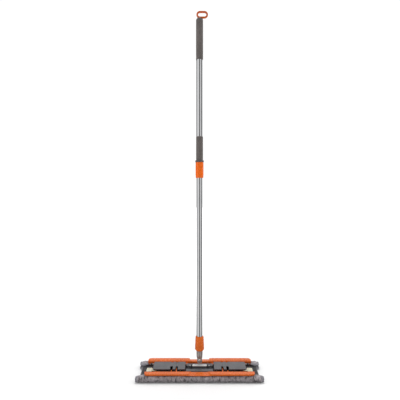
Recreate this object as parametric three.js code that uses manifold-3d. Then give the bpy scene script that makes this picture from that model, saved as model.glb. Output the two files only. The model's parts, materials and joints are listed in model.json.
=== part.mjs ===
// Flat floor mop with a telescopic steel pole, a two-axis joint and a foot-operated cloth clamp.
// Millimetres, +Z up. The origin is on the floor under the middle of the head.
// X runs along the head and -Y is its front. Stepping on a pedal turns both jaws open.

import * as THREE from "three";
import { mergeVertices } from "three/addons/utils/BufferGeometryUtils.js";
import Module from "manifold-3d";

const wasm = await Module();
wasm.setup();

// ---------- Driving dimensions ----------

const GAP = 0.3; // clearance between pieces that rest on each other
const ROUND = 20; // segments of a pole-sized circle
const SMALL_ROUND = 12; // segments of a pin-sized circle
const HOLE_ROUND = 10; // segments of a screw hole
const BEYOND = 60; // how far a cutting tool reaches when it passes right through the head

const CLOTH = {
  halfLength: 212.5,
  halfDepth: 69,
  soleThickness: 9,
  foldThickness: 8,
  clampedEdge: 46,
  backTabEdge: 33,
  tabStart: 187,
  drawnIn: 11.5,
};
const PLATE = { halfLength: 198, halfDepth: 60, thickness: 4, cornerRadius: 12 };
const RIB = { end: 148, offset: 25, halfWidth: 1, height: 2.4 };
const HINGE = { offset: 37, height: 18.5, rodRadius: 1.5, boreRadius: 1.9, rodHalfLength: 176 };
const EARS = { positions: [-170, -112, -20, 20, 112, 170], width: 6, halfDepth: 2.6, top: 22 };
const JAW = {
  halfLength: 182,
  innerEdge: 42,
  outerEdge: 67,
  wall: 2.4,
  skirtBottom: 14.4,
  waistStart: 27,
  waistEnd: 49,
  lugPositions: [-136, -88, -45, 45, 88, 136],
  lugWidth: 5,
  lugRadius: 4.2,
  cornerRadius: 12,
};
const WEBS = { positions: [-160, -60, 60, 160], halfWidth: 1, outer: 62, bottom: 22.3, top: 26.5 };
const ARMS = { positions: [78, 95], width: 3, tip: 3, padEnd: 8.5, padTop: 26.6, padBottom: 24.7 };
const PEDAL = {
  inner: 49,
  outer: 158,
  halfDepth: 30,
  underside: 27.3,
  top: 30.2,
  edgeBevel: 1.6,
  skirtBottom: 24.8,
  skirtOffset: 3.2,
  skirtWall: 1.6,
  notchWidth: 6.4,
  notchStart: 9.6,
  backNotchStart: 25,
  cornerRadius: 2.5,
};
const PEDAL_PIN = { offset: 6.5, height: 22.7, radius: 1.25, boreRadius: 1.6, from: 70, to: 103 };
const PIN_RIBS = { positions: [71.5, 86.5, 101.5], width: 2, halfDepth: 2.5, bottom: 20.5 };
const SPRING = { positions: [61.5, 140], radius: 6.2, wire: 0.65, turns: 4 };
const SEAT = { radius: 4.6, height: 2.2 };
const STOP = {
  postStart: 147.7,
  postEnd: 152.6,
  postHalf: 9,
  postTop: 20.9,
  padStart: 163,
  padEnd: 182,
  padHalf: 14,
  padTop: 15.6,
};
const HUB = { halfLength: 46, halfDepth: 31, top: 24.2, troughHalf: 10.8, troughFloor: 16 };
const CRADLE = {
  halfLength: 45,
  halfDepth: 10.4,
  top: 18.6,
  earInner: 25.5,
  earOuter: 31,
  earHalf: 4.8,
  bossRadius: 3.6,
  bossTop: 21,
};
const SCREW = { headRadius: 3.2, headHeight: 1.6, shankRadius: 1.5, holeRadius: 1.9, recessRadius: 3.7 };
const HUB_SCREW_TOP = 20;
const CRADLE_SCREW_TOP = 19.4;
const STOP_SCREW_TOP = 14.3;
const PILOT_SPARE = 0.6; // depth of a screw's hole past its tip
const HUB_SCREWS = [
  [-38, -22],
  [38, -22],
  [-38, 22],
  [38, 22],
];
const CRADLE_SCREWS = [
  [-38, 0],
  [38, 0],
];
const STOP_SCREWS = [
  [-172, -8],
  [-172, 8],
  [172, -8],
  [172, 8],
];
const PITCH = { height: 28, barrelRadius: 5, barrelHalf: 24, axleRadius: 2, boreRadius: 2.4, axleHalf: 34 };
const CLIP = { radius: 3.8, bore: 2.35, width: 1, clearance: 0.4, openingHalf: 1.3 };
const ROLL = { height: 50, lugHalf: 7, lugHalfDepth: 5, flareTop: 36, flareHalf: 11, boreRadius: 2.9 };
const RIVET = { radius: 2.4, headRadius: 4.4, domeRadius: 2.8, headHeight: 1.9 };
const WASHER_RADIUS = 6.2;
const FORK = {
  legInner: 6.6,
  legOuter: 8.8,
  legHalfWidth: 9.5,
  crownRadius: 8,
  crownBottom: 60.5,
  tubeStart: 64,
  tubeTop: 99,
  radius: 10.5,
  innerRadius: 9.7,
};
const SOCKET = { bottom: 81.6, top: 130.8, mouthRadius: 12.4, radius: 15.6, topRadius: 14.3, bore: 10.9 };
const INSERT = { bottom: 72, top: 150, coreRadius: 8.4, plugRadius: 9.5 };
const THREAD = { radius: 9.3, top: 97, pitch: 5 };
const LOWER_TUBE = { radius: 10.45, innerRadius: 9.95, bottom: 103, top: 760 };
const UPPER_TUBE = { radius: 11.2, innerRadius: 10.8, bottom: 707, top: 1200 };
const SLEEVE_GAP = 0.35; // between the outer tube and the sleeves fitted over it
const BUSH = { depth: 25, collar: 7, radius: 10.4, plugRadius: 9.5, boreRadius: 7.6 };
const LOCK = {
  bottom: 674.3,
  top: 728.2,
  radius: 13.8,
  waistRadius: 13.4,
  boreRadius: 12.9,
  lipBore: 10.9,
};
const LOCK_SLEEVE = { bottom: 709, radius: 12.3, flangeRadius: 14.9, flangeTop: 735 };
const COLLET = {
  bottom: 680,
  taperTop: 688,
  top: 706,
  bore: 10.75,
  tipRadius: 11.4,
  radius: 12.5,
  slotHalf: 0.8,
};
const MIDDLE_GRIP = { bottom: 735.3, top: 816.4, radius: 12 };
const UPPER_GRIP = { bottom: 1080, top: 1202, radius: 12.3 };
const CAP = {
  bottom: 1185,
  skirtTop: 1202.3,
  top: 1222.6,
  radius: 12.2,
  plugRadius: 10.3,
  plugBore: 6.2,
  stemBore: 3.7,
};
const LOOP = { centreX: 9, bottom: 1223.3, top: 1248, halfWidth: 20, band: 5.6, halfDepth: 4, bevel: 1.6 };
const STEM = { radius: 3.2, bottom: 1205.3, holeRadius: 1.2 };
const LOOP_SCREW = { headRadius: 4.6, headHeight: 2, shankRadius: 0.85, length: 12 };

const plateBottom = CLOTH.soleThickness + GAP;
const plateTop = plateBottom + PLATE.thickness;
const foldBottom = plateTop + GAP;
const foldTop = foldBottom + CLOTH.foldThickness;
const seatHeight = plateTop + GAP;
const lipBottom = foldTop + GAP;
const sleeveBore = UPPER_TUBE.radius + SLEEVE_GAP;

// ---------- Materials ----------

function material(colour, roughness, metalness = 0) {
  return new THREE.MeshStandardMaterial({ color: colour, roughness, metalness });
}

const orange = material(0xe8641a, 0.38);
const greyPlastic = material(0x6a696b, 0.42);
const blackPlastic = material(0x242426, 0.5);
const creamPlastic = material(0xe4dfcb, 0.45);
const gripRubber = material(0x77716e, 0.72);
const nylon = material(0xd9d8d2, 0.5);
const steel = material(0xc6c8ca, 0.18, 1);
const zinc = material(0xaeb0b2, 0.32, 1);
const fabric = material(0x77757b, 0.95);

// ---------- Geometry helpers ----------

// A three.js geometry as a manifold solid. Faces that closed up on the axis are dropped,
// and a geometry that was mirrored is turned the right way out.
function solid(geometry) {
  const bare = geometry.clone();
  bare.deleteAttribute("normal");
  bare.deleteAttribute("uv");
  const merged = mergeVertices(bare, 1e-4);
  const place = merged.attributes.position.array;
  const index = merged.index.array;
  const faces = [];
  for (let i = 0; i < index.length; i += 3) {
    const [a, b, c] = index.slice(i, i + 3);
    if (a !== b && b !== c && c !== a) faces.push(a, b, c);
  }
  const build = (triangles) =>
    new wasm.Manifold(
      new wasm.Mesh({ numProp: 3, vertProperties: place, triVerts: new Uint32Array(triangles) }),
    );
  const made = build(faces);
  if (made.volume() > 0) return made;
  return build(faces.reverse());
}

function join(...solids) {
  return solids.reduce((whole, piece) => whole.add(piece));
}

function cut(whole, ...tools) {
  return tools.reduce((rest, tool) => rest.subtract(tool), whole);
}

function box(x0, x1, y0, y1, z0, z1) {
  const geometry = new THREE.BoxGeometry(x1 - x0, y1 - y0, z1 - z0);
  return solid(geometry.translate((x0 + x1) / 2, (y0 + y1) / 2, (z0 + z1) / 2));
}

// A box whose two X coordinates may come in either order.
function spanBox(xa, xb, y0, y1, z0, z1) {
  return box(Math.min(xa, xb), Math.max(xa, xb), y0, y1, z0, z1);
}

// A round bar along "x", "y" or "z" from one coordinate to another, through the point (a, b)
// of the other two axes in alphabetical order.
function rod(axis, radius, from, to, a, b, segments = SMALL_ROUND) {
  const middle = (from + to) / 2;
  const geometry = new THREE.CylinderGeometry(radius, radius, to - from, segments);
  if (axis === "x") geometry.rotateZ(Math.PI / 2).translate(middle, a, b);
  if (axis === "y") geometry.translate(a, middle, b);
  if (axis === "z") geometry.rotateX(Math.PI / 2).translate(a, b, middle);
  return solid(geometry);
}

// A body of revolution about Z from [radius, height] pairs.
function lathe(profile, segments = ROUND) {
  const points = profile.map(([radius, height]) => new THREE.Vector2(radius, height));
  return solid(new THREE.LatheGeometry(points, segments).rotateX(Math.PI / 2));
}

function tube({ radius, innerRadius, bottom, top }) {
  const walls = [[innerRadius, bottom], [radius, bottom], [radius, top], [innerRadius, top]];
  return lathe([...walls, walls[0]]);
}

function shapeOf(points) {
  return new THREE.Shape(points.map(([a, b]) => new THREE.Vector2(a, b)));
}

function prism(shape, depth, curveSegments = 6) {
  return new THREE.ExtrudeGeometry(shape, { depth, bevelEnabled: false, curveSegments });
}

// Extrudes an outline drawn in (x, y) upwards from z0 to z1.
function extrudeUp(shape, z0, z1, curveSegments) {
  return solid(prism(shape, z1 - z0, curveSegments).translate(0, 0, z0));
}

// Extrudes an outline drawn in (y, z) along X.
function extrudeAlong(shape, x0, x1, curveSegments) {
  const turn = new THREE.Matrix4().makeBasis(
    new THREE.Vector3(0, 1, 0),
    new THREE.Vector3(0, 0, 1),
    new THREE.Vector3(1, 0, 0),
  );
  return solid(prism(shape, x1 - x0, curveSegments).applyMatrix4(turn).translate(x0, 0, 0));
}

// Extrudes an outline drawn in (x, z) across Y.
function extrudeAcross(shape, y0, y1, curveSegments) {
  const turn = new THREE.Matrix4().makeBasis(
    new THREE.Vector3(1, 0, 0),
    new THREE.Vector3(0, 0, 1),
    new THREE.Vector3(0, -1, 0),
  );
  return solid(prism(shape, y1 - y0, curveSegments).applyMatrix4(turn).translate(0, y1, 0));
}

function roundedRectangle(halfX, halfY, radius) {
  const shape = new THREE.Shape();
  shape.moveTo(-halfX + radius, -halfY);
  shape.lineTo(halfX - radius, -halfY);
  shape.absarc(halfX - radius, -halfY + radius, radius, -Math.PI / 2, 0);
  shape.absarc(halfX - radius, halfY - radius, radius, 0, Math.PI / 2);
  shape.absarc(-halfX + radius, halfY - radius, radius, Math.PI / 2, Math.PI);
  shape.absarc(-halfX + radius, -halfY + radius, radius, Math.PI, 1.5 * Math.PI);
  return shape;
}

// Skins rings of [y, z] points that stand at stations along X, and closes both ends.
// Each ring runs clockwise as seen from +X.
function loft(stations) {
  const size = stations[0].ring.length;
  const positions = stations.flatMap(({ x, ring }) => ring.flatMap(([y, z]) => [x, y, z]));
  const faces = [];
  for (let s = 0; s < stations.length - 1; s++) {
    for (let i = 0; i < size; i++) {
      const a = s * size + i;
      const b = s * size + ((i + 1) % size);
      faces.push(a, a + size, b, b, a + size, b + size);
    }
  }
  const last = (stations.length - 1) * size;
  const outline = (ring) => ring.map(([y, z]) => new THREE.Vector2(y, z));
  for (const [a, b, c] of THREE.ShapeUtils.triangulateShape(outline(stations[0].ring), [])) {
    faces.push(a, c, b);
  }
  for (const [a, b, c] of THREE.ShapeUtils.triangulateShape(outline(stations.at(-1).ring), [])) {
    faces.push(last + a, last + b, last + c);
  }
  const geometry = new THREE.BufferGeometry();
  geometry.setAttribute("position", new THREE.Float32BufferAttribute(positions, 3));
  geometry.setIndex(faces);
  return solid(geometry);
}

function geometryOf(body) {
  const made = body.getMesh();
  const geometry = new THREE.BufferGeometry();
  geometry.setAttribute("position", new THREE.BufferAttribute(made.vertProperties, 3));
  geometry.setIndex(new THREE.BufferAttribute(made.triVerts, 1));
  return geometry;
}

// The same body on the other side of the plane X = 0.
function mirrored(body) {
  return solid(geometryOf(body).scale(-1, 1, 1));
}

function named(name, body, look) {
  const geometry = geometryOf(body);
  geometry.computeVertexNormals();
  const mesh = new THREE.Mesh(geometry, look);
  mesh.name = name;
  return mesh;
}

function lerp(a, b, t) {
  return a + (b - a) * t;
}

// ---------- Cloth ----------

// The pad lies under the plate. Its long edges fold up round the plate and lie on top of it,
// under the jaws. At the back the folded edge is wider outside the jaws. Its ends draw in
// between the folds.
function clothBody() {
  const { halfLength, halfDepth, soleThickness, clampedEdge, backTabEdge, tabStart, drawnIn } = CLOTH;
  const wallInner = PLATE.halfDepth + GAP;
  const overlap = soleThickness - 1;
  const sole = box(-halfLength, halfLength, 1 - halfDepth, halfDepth - 1, 0, soleThickness);
  const wraps = [-1, 1].map((side) => {
    const section = [
      [halfDepth - 2, 0],
      [halfDepth, 3],
      [halfDepth, foldTop - 7],
      [halfDepth - 2, foldTop - 2],
      [halfDepth - 6, foldTop],
      [clampedEdge, foldTop],
      [clampedEdge, foldBottom],
      [wallInner, foldBottom],
      [wallInner, 0],
    ];
    return extrudeAlong(shapeOf(section.map(([y, z]) => [side * y, z])), -halfLength, halfLength);
  });
  const gapEnd = PLATE.halfLength + GAP;
  const tabs = [-1, 1].flatMap((end) => [
    spanBox(end * tabStart, end * halfLength, backTabEdge, halfDepth - 6, foldBottom, foldTop),
    spanBox(end * gapEnd, end * halfLength, backTabEdge, halfDepth - 6, overlap, foldTop),
    spanBox(end * gapEnd, end * halfLength, -halfDepth + 6, -clampedEdge, overlap, foldTop),
  ]);
  const right = [
    [halfLength - 3, -halfDepth],
    [halfLength, 4 - halfDepth],
    [halfLength - 1.5, -clampedEdge - 6],
    [halfLength - drawnIn, -clampedEdge + 12],
    [halfLength - drawnIn, backTabEdge - 10],
    [halfLength - 1.5, backTabEdge + 4],
    [halfLength, halfDepth - 9],
    [halfLength - 5, halfDepth],
  ];
  const left = right.map(([x, y]) => [-x, y]).reverse();
  const plan = extrudeUp(shapeOf([...right, ...left]), -1, foldTop + 1);
  return join(sole, ...wraps, ...tabs).intersect(plan);
}

// ---------- Base plate ----------

function hingeEar(x, side) {
  const centre = side * HINGE.offset;
  const half = EARS.halfDepth;
  const outline = new THREE.Shape();
  outline.moveTo(centre - half - 1.5, plateTop - 1);
  outline.lineTo(centre + half + 1.5, plateTop - 1);
  outline.lineTo(centre + half, EARS.top - half);
  outline.absarc(centre, EARS.top - half, half, 0, Math.PI);
  const body = extrudeAlong(outline, x - EARS.width / 2, x + EARS.width / 2, 2);
  const bore = rod("x", HINGE.boreRadius, x - EARS.width, x + EARS.width, centre, HINGE.height, HOLE_ROUND);
  return cut(body, bore);
}

function basePlate() {
  const outline = roundedRectangle(PLATE.halfLength, PLATE.halfDepth, PLATE.cornerRadius);
  let plate = extrudeUp(outline, plateBottom, plateTop, 2);
  for (const side of [-1, 1]) {
    for (const x of EARS.positions) plate = plate.add(hingeEar(x, side));
    const middle = side * RIB.offset;
    for (const end of [-1, 1]) {
      const rib = spanBox(
        end * (HUB.halfLength + 1),
        end * RIB.end,
        middle - RIB.halfWidth,
        middle + RIB.halfWidth,
        plateTop - 1,
        plateTop + RIB.height,
      );
      plate = plate.add(rib);
    }
    for (const x of SPRING.positions) {
      plate = plate.add(rod("z", SEAT.radius, plateTop - 1, plateTop + SEAT.height, side * x, 0));
    }
  }
  for (const [x, y] of [...HUB_SCREWS, ...CRADLE_SCREWS, ...STOP_SCREWS]) {
    const recessTop = plateBottom + SCREW.headHeight + GAP;
    const recess = rod("z", SCREW.recessRadius, 0, recessTop, x, y, HOLE_ROUND);
    plate = cut(plate, recess, screwHole(x, y, BEYOND));
  }
  return plate;
}

function screwHole(x, y, top) {
  return rod("z", SCREW.holeRadius, 0, top, x, y, HOLE_ROUND);
}

function screw(x, y, top) {
  const head = rod("z", SCREW.headRadius, plateBottom, plateBottom + SCREW.headHeight, x, y, HOLE_ROUND);
  return join(head, rod("z", SCREW.shankRadius, plateBottom + 0.5, top, x, y, HOLE_ROUND));
}

function hingeRod(side) {
  const half = HINGE.rodHalfLength;
  return rod("x", HINGE.rodRadius, -half, half, side * HINGE.offset, HINGE.height);
}

// Cream block at the end of the plate. Its post stands under the pedal and stops its travel.
function stopBlock() {
  const { postStart, postEnd, padStart, padEnd, padHalf, postHalf, padTop, postTop } = STOP;
  const outline = roundedRectangle((padEnd - padStart) / 2, padHalf, 3);
  const pad = extrudeUp(outline, seatHeight, padTop, 2).translate((padStart + padEnd) / 2, 0, 0);
  const bridge = box(postStart, padStart + 3, -postHalf, postHalf, seatHeight, padTop - 0.4);
  const post = box(postStart, postEnd, -postHalf, postHalf, seatHeight, postTop);
  const pilots = STOP_SCREWS.filter(([x]) => x > 0).map(([x, y]) =>
    screwHole(x, y, STOP_SCREW_TOP + PILOT_SPARE - 0.1),
  );
  return cut(join(pad, bridge, post), ...pilots);
}

// ---------- Hub and two-axis joint ----------

function centreHub() {
  const { halfLength, halfDepth, top, troughHalf, troughFloor } = HUB;
  const section = new THREE.Shape();
  section.moveTo(-halfDepth, seatHeight);
  section.lineTo(halfDepth, seatHeight);
  section.lineTo(halfDepth, top - 3);
  section.absarc(halfDepth - 3, top - 3, 3, 0, Math.PI / 2);
  section.lineTo(troughHalf + 1, top);
  section.lineTo(troughHalf, top - 1);
  section.lineTo(troughHalf, troughFloor);
  section.lineTo(-troughHalf, troughFloor);
  section.lineTo(-troughHalf, top - 1);
  section.lineTo(-troughHalf - 1, top);
  section.lineTo(-halfDepth + 3, top);
  section.absarc(-halfDepth + 3, top - 3, 3, Math.PI / 2, Math.PI);
  const block = extrudeAlong(section, -halfLength, halfLength, 2);
  const holes = [...HUB_SCREWS, ...CRADLE_SCREWS].map(([x, y]) =>
    screwHole(x, y, HUB_SCREW_TOP + PILOT_SPARE),
  );
  return cut(block, ...holes);
}

// Insert in the hub's trough, with the two ears that hold the axle.
function hingeCradle() {
  const { halfLength, halfDepth, top, earInner, earOuter, earHalf, bossRadius, bossTop } = CRADLE;
  const bottom = HUB.troughFloor + GAP;
  const base = box(-halfLength, halfLength, -halfDepth, halfDepth, bottom, top);
  const ear = new THREE.Shape();
  ear.moveTo(-earHalf - 3, top - 1);
  ear.lineTo(earHalf + 3, top - 1);
  ear.lineTo(earHalf, PITCH.height);
  ear.absarc(0, PITCH.height, earHalf, 0, Math.PI);
  const ears = [extrudeAlong(ear, earInner, earOuter, 5), extrudeAlong(ear, -earOuter, -earInner, 5)];
  const bosses = CRADLE_SCREWS.map(([x, y]) => rod("z", bossRadius, top - 1, bossTop, x, y));
  const axleHole = rod("x", PITCH.boreRadius, -BEYOND, BEYOND, 0, PITCH.height);
  const pilots = CRADLE_SCREWS.map(([x, y]) => screwHole(x, y, CRADLE_SCREW_TOP + PILOT_SPARE));
  return cut(join(base, ...ears, ...bosses), axleHole, ...pilots);
}

function barrelAxle() {
  return rod("x", PITCH.axleRadius, -PITCH.axleHalf, PITCH.axleHalf, 0, PITCH.height);
}

// Open retaining ring on the axle, just outside the cradle's ear.
function axleClip(side) {
  const { radius, bore, width, clearance, openingHalf } = CLIP;
  const start = CRADLE.earOuter + clearance;
  const from = side > 0 ? start : -start - width;
  const disc = rod("x", radius, from, from + width, 0, PITCH.height);
  const hole = rod("x", bore, from - 1, from + width + 1, 0, PITCH.height);
  const opening = box(from - 1, from + width + 1, -openingHalf, openingHalf, 0, PITCH.height);
  return cut(disc, hole, opening);
}

// Barrel that turns on the axle, with an upright lug for the rivet.
function jointTee() {
  const { lugHalf, lugHalfDepth, height, flareTop, flareHalf } = ROLL;
  const barrel = rod("x", PITCH.barrelRadius, -PITCH.barrelHalf, PITCH.barrelHalf, 0, PITCH.height, 20);
  const lug = new THREE.Shape();
  lug.moveTo(-flareHalf, PITCH.height);
  lug.lineTo(flareHalf, PITCH.height);
  lug.lineTo(lugHalf, flareTop);
  lug.lineTo(lugHalf, height);
  lug.absarc(0, height, lugHalf, 0, Math.PI);
  lug.lineTo(-lugHalf, flareTop);
  const upright = extrudeAcross(lug, -lugHalfDepth, lugHalfDepth, 6);
  const axleHole = rod("x", PITCH.boreRadius, -BEYOND, BEYOND, 0, PITCH.height);
  const rivetHole = rod("y", ROLL.boreRadius, -BEYOND, BEYOND, 0, height);
  return cut(join(barrel, upright), axleHole, rivetHole);
}

// Steel fork that straddles the lug, with the tube that takes the pole above it.
function swivelFork() {
  const { legInner, legOuter, legHalfWidth, crownRadius, crownBottom } = FORK;
  const { tubeStart, tubeTop, radius, innerRadius } = FORK;
  const leg = new THREE.Shape();
  leg.moveTo(-legHalfWidth, ROLL.height);
  leg.absarc(0, ROLL.height, legHalfWidth, Math.PI, 2 * Math.PI);
  leg.lineTo(legHalfWidth, tubeStart - 2);
  leg.lineTo(legHalfWidth - 4, tubeStart + 5);
  leg.lineTo(-legHalfWidth + 4, tubeStart + 5);
  leg.lineTo(-legHalfWidth, tubeStart - 2);
  const legs = [-legOuter, legInner].map((y) => extrudeAcross(leg, y, y + legOuter - legInner, 6));
  const body = lathe([
    [0, crownBottom],
    [crownRadius, crownBottom],
    [radius, tubeStart],
    [radius, tubeTop],
    [innerRadius, tubeTop],
    [innerRadius, tubeStart + 2],
    [0, tubeStart + 2],
  ]);
  const inside = rod("z", innerRadius, tubeStart + 2, tubeTop + 1, 0, 0, ROUND);
  const trimmed = cut(join(...legs), inside);
  return cut(join(body, trimmed), rod("y", ROLL.boreRadius, -BEYOND, BEYOND, 0, ROLL.height));
}

function forkRivet() {
  const { radius, headRadius, domeRadius, headHeight } = RIVET;
  const { legOuter } = FORK;
  const shank = rod("y", radius, -legOuter - 1, legOuter + 1, 0, ROLL.height);
  const heads = [-1, 1].map((side) => {
    const [above, below] = side > 0 ? [domeRadius, headRadius] : [headRadius, domeRadius];
    const head = new THREE.CylinderGeometry(above, below, headHeight, SMALL_ROUND);
    return solid(head.translate(0, side * (legOuter + GAP + headHeight / 2), ROLL.height));
  });
  return join(shank, ...heads);
}

function forkWasher(side) {
  const from = side > 0 ? ROLL.lugHalfDepth + GAP : -FORK.legInner + GAP;
  const thickness = FORK.legInner - ROLL.lugHalfDepth - 2 * GAP;
  const disc = rod("y", WASHER_RADIUS, from, from + thickness, 0, ROLL.height, 16);
  return cut(disc, rod("y", ROLL.boreRadius, -BEYOND, BEYOND, 0, ROLL.height));
}

// ---------- Pole ----------

function poleSocket() {
  const { bottom, top, mouthRadius, radius, topRadius, bore } = SOCKET;
  return lathe([
    [bore, bottom],
    [mouthRadius, bottom],
    [radius, bottom + 5],
    [radius, bottom + 14],
    [radius - 0.7, bottom + 26],
    [topRadius, top - 2],
    [topRadius - 1.4, top],
    [bore, top],
    [bore, bottom],
  ]);
}

// Plastic insert in the pole's end, with the screwed spigot that enters the fork's tube.
function threadInsert() {
  const { bottom, top, coreRadius, plugRadius } = INSERT;
  const profile = [[0, bottom], [coreRadius, bottom]];
  for (let z = bottom + 1; z + THREAD.pitch < THREAD.top; z += THREAD.pitch) {
    profile.push([THREAD.radius, z + 1], [THREAD.radius, z + 3], [coreRadius, z + 4]);
  }
  profile.push([coreRadius, LOWER_TUBE.bottom], [plugRadius, LOWER_TUBE.bottom + 1.5]);
  profile.push([plugRadius, top], [0, top]);
  return lathe(profile, 14);
}

// Guide bush at the top of the inner tube. Its collar slides inside the outer tube.
function guideBush() {
  const { depth, collar, radius, plugRadius, boreRadius } = BUSH;
  const top = LOWER_TUBE.top;
  return lathe([
    [boreRadius, top - depth],
    [plugRadius, top - depth],
    [plugRadius, top + GAP],
    [radius, top + GAP],
    [radius, top + collar],
    [boreRadius, top + collar],
    [boreRadius, top - depth],
  ]);
}

// Collar and sleeve on the end of the outer tube, which the lock nut screws on to.
function lockBody() {
  const { bottom, radius, flangeRadius, flangeTop } = LOCK_SLEEVE;
  return lathe([
    [sleeveBore, bottom],
    [radius, bottom],
    [radius, LOCK.top + GAP],
    [flangeRadius - 0.5, LOCK.top + GAP],
    [flangeRadius, LOCK.top + 1.5],
    [flangeRadius, flangeTop - 2],
    [flangeRadius - 1, flangeTop],
    [sleeveBore, flangeTop],
    [sleeveBore, bottom],
  ]);
}

// Split ring that the lock nut squeezes on to the inner tube.
function clampCollet() {
  const { bottom, taperTop, top, bore, tipRadius, radius, slotHalf } = COLLET;
  const ring = lathe([
    [bore, bottom],
    [tipRadius, bottom],
    [radius, taperTop],
    [radius, top],
    [bore, top],
    [bore, bottom],
  ]);
  return cut(ring, box(0, radius + 1, -slotHalf, slotHalf, bottom - 1, top + 1));
}

function lockNut() {
  const { bottom, top, radius, waistRadius, boreRadius, lipBore } = LOCK;
  return lathe([
    [lipBore, bottom],
    [waistRadius - 1.2, bottom],
    [waistRadius, bottom + 3.5],
    [waistRadius, bottom + 9],
    [radius, bottom + 12],
    [radius, top - 2],
    [waistRadius, top],
    [boreRadius, top],
    [boreRadius, bottom + 4.5],
    [lipBore, bottom + 3],
    [lipBore, bottom],
  ]);
}

function middleGrip() {
  const { bottom, top, radius } = MIDDLE_GRIP;
  const profile = [[sleeveBore, bottom], [radius - 0.3, bottom], [radius, bottom + 2], [radius, top - 20]];
  for (const z of [top - 19, top - 11, top - 3]) profile.push([radius - 0.35, z], [radius, z + 1]);
  profile.push([radius, top - 1], [radius - 0.3, top], [sleeveBore, top], [sleeveBore, bottom]);
  return lathe(profile);
}

// Long grip with a plain shaft above a ring groove and a ribbed foot.
function upperGrip() {
  const { bottom, top, radius } = UPPER_GRIP;
  const profile = [[sleeveBore, bottom], [radius - 0.4, bottom], [radius, bottom + 2]];
  for (const z of [bottom + 6, bottom + 14, bottom + 22, bottom + 35]) {
    profile.push([radius, z], [radius - 0.6, z + 1], [radius - 0.6, z + 2], [radius, z + 3]);
  }
  profile.push([radius, top], [sleeveBore, top], [sleeveBore, bottom]);
  return lathe(profile);
}

// Cap on the pole's top: a plug in the tube, a round head, and a bore for the loop's stem.
function gripCap() {
  const { bottom, skirtTop, top, radius, plugRadius, plugBore, stemBore } = CAP;
  const boreFloor = skirtTop + 4;
  return lathe([
    [plugBore, bottom],
    [plugRadius, bottom],
    [plugRadius, skirtTop],
    [radius, skirtTop],
    [radius, top - 3.5],
    [radius - 1, top - 1],
    [radius - 3, top],
    [stemBore, top],
    [stemBore, boreFloor],
    [plugBore, boreFloor],
    [plugBore, bottom],
  ]);
}

// Oval hanging ring that stands off to one side of its stem.
function hangLoop() {
  const { centreX, bottom, top, halfWidth, band, halfDepth, bevel } = LOOP;
  const halfHeight = (top - bottom) / 2;
  const middle = (top + bottom) / 2;
  const oval = (inset) => {
    const radius = halfHeight - inset;
    const reach = halfWidth - halfHeight;
    const outline = new THREE.Shape();
    outline.absarc(centreX + reach, middle, radius, -Math.PI / 2, Math.PI / 2);
    outline.absarc(centreX - reach, middle, radius, Math.PI / 2, 1.5 * Math.PI);
    return outline;
  };
  const slim = extrudeAcross(oval(0), bevel - halfDepth, halfDepth - bevel, 6);
  const wide = extrudeAcross(oval(bevel), -halfDepth, halfDepth, 6);
  const hole = extrudeAcross(oval(band), -BEYOND, BEYOND, 6);
  const stem = rod("z", STEM.radius, STEM.bottom, bottom + band - 0.5, 0, 0);
  const stemHole = rod("z", STEM.holeRadius, 0, bottom - 3, 0, 0);
  return cut(join(cut(join(slim, wide), hole), stem), stemHole);
}

// Screw and washer head that hold the loop's stem in the cap.
function loopScrew() {
  const seat = STEM.bottom - GAP;
  const { headRadius, headHeight, shankRadius, length } = LOOP_SCREW;
  const head = rod("z", headRadius, seat - headHeight, seat, 0, 0);
  return join(head, rod("z", shankRadius, seat - 1, seat + length, 0, 0));
}

// ---------- Cloth clamp ----------

// Section of a jaw's wing: a flat top that overhangs the lip.
function wingSection() {
  const { innerEdge, wall, skirtBottom } = JAW;
  return [
    [innerEdge, skirtBottom],
    [innerEdge, 25.4],
    [innerEdge + 2.8, 28.2],
    [65.2, 28.6],
    [67, 27.6],
    [65.4, 24.6],
    [63.8, lipBottom],
    [61.4, lipBottom],
    [63.2, 25.8],
    [62, 26.3],
    [innerEdge + wall, 25.8],
    [innerEdge + wall, skirtBottom],
  ];
}

// Section of the waist between the wings, where the top slopes down to the lip.
function waistSection() {
  const { innerEdge, wall, skirtBottom } = JAW;
  return [
    [innerEdge, skirtBottom],
    [innerEdge, 25.4],
    [innerEdge + 1.6, 26.3],
    [47, 26.2],
    [66.4, 23.8],
    [66, 22.7],
    [63.8, lipBottom],
    [61.4, lipBottom],
    [61, 22.3],
    [46.6, 23.9],
    [innerEdge + wall, 23.8],
    [innerEdge + wall, skirtBottom],
  ];
}

// Arm that reaches from the jaw's wall to the pins under the pedal. The front jaw's arms stand
// in the pedal's open notches. The back jaw's are lower, to stay under the pressed panel.
function leverArm(x, isFront) {
  const { width, tip, padEnd, padTop, padBottom } = ARMS;
  const root = JAW.innerEdge + 1;
  const highTop = [[root, 25.2], [28, 25.2], [padEnd + 3.5, padTop - 1.6]];
  const lowTop = [[root, 22.5], [30, 22.3], [18, 24.7], [padEnd + 3.5, padTop - 0.7]];
  const outline = shapeOf([
    [tip, padBottom],
    [padEnd + 3, padBottom - 0.9],
    [29, 20.9],
    [root, 20.9],
    ...(isFront ? highTop : lowTop),
    [padEnd, padTop],
    [tip, padTop],
  ]);
  return extrudeAlong(outline, x - width / 2, x + width / 2);
}

function hingeLug(x) {
  const { lugWidth, lugRadius, innerEdge } = JAW;
  const [from, to] = [x - lugWidth / 2, x + lugWidth / 2];
  const ring = rod("x", lugRadius, from, to, HINGE.offset, HINGE.height);
  return join(ring, box(from, to, HINGE.offset, innerEdge + 1, 16, 22));
}

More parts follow.
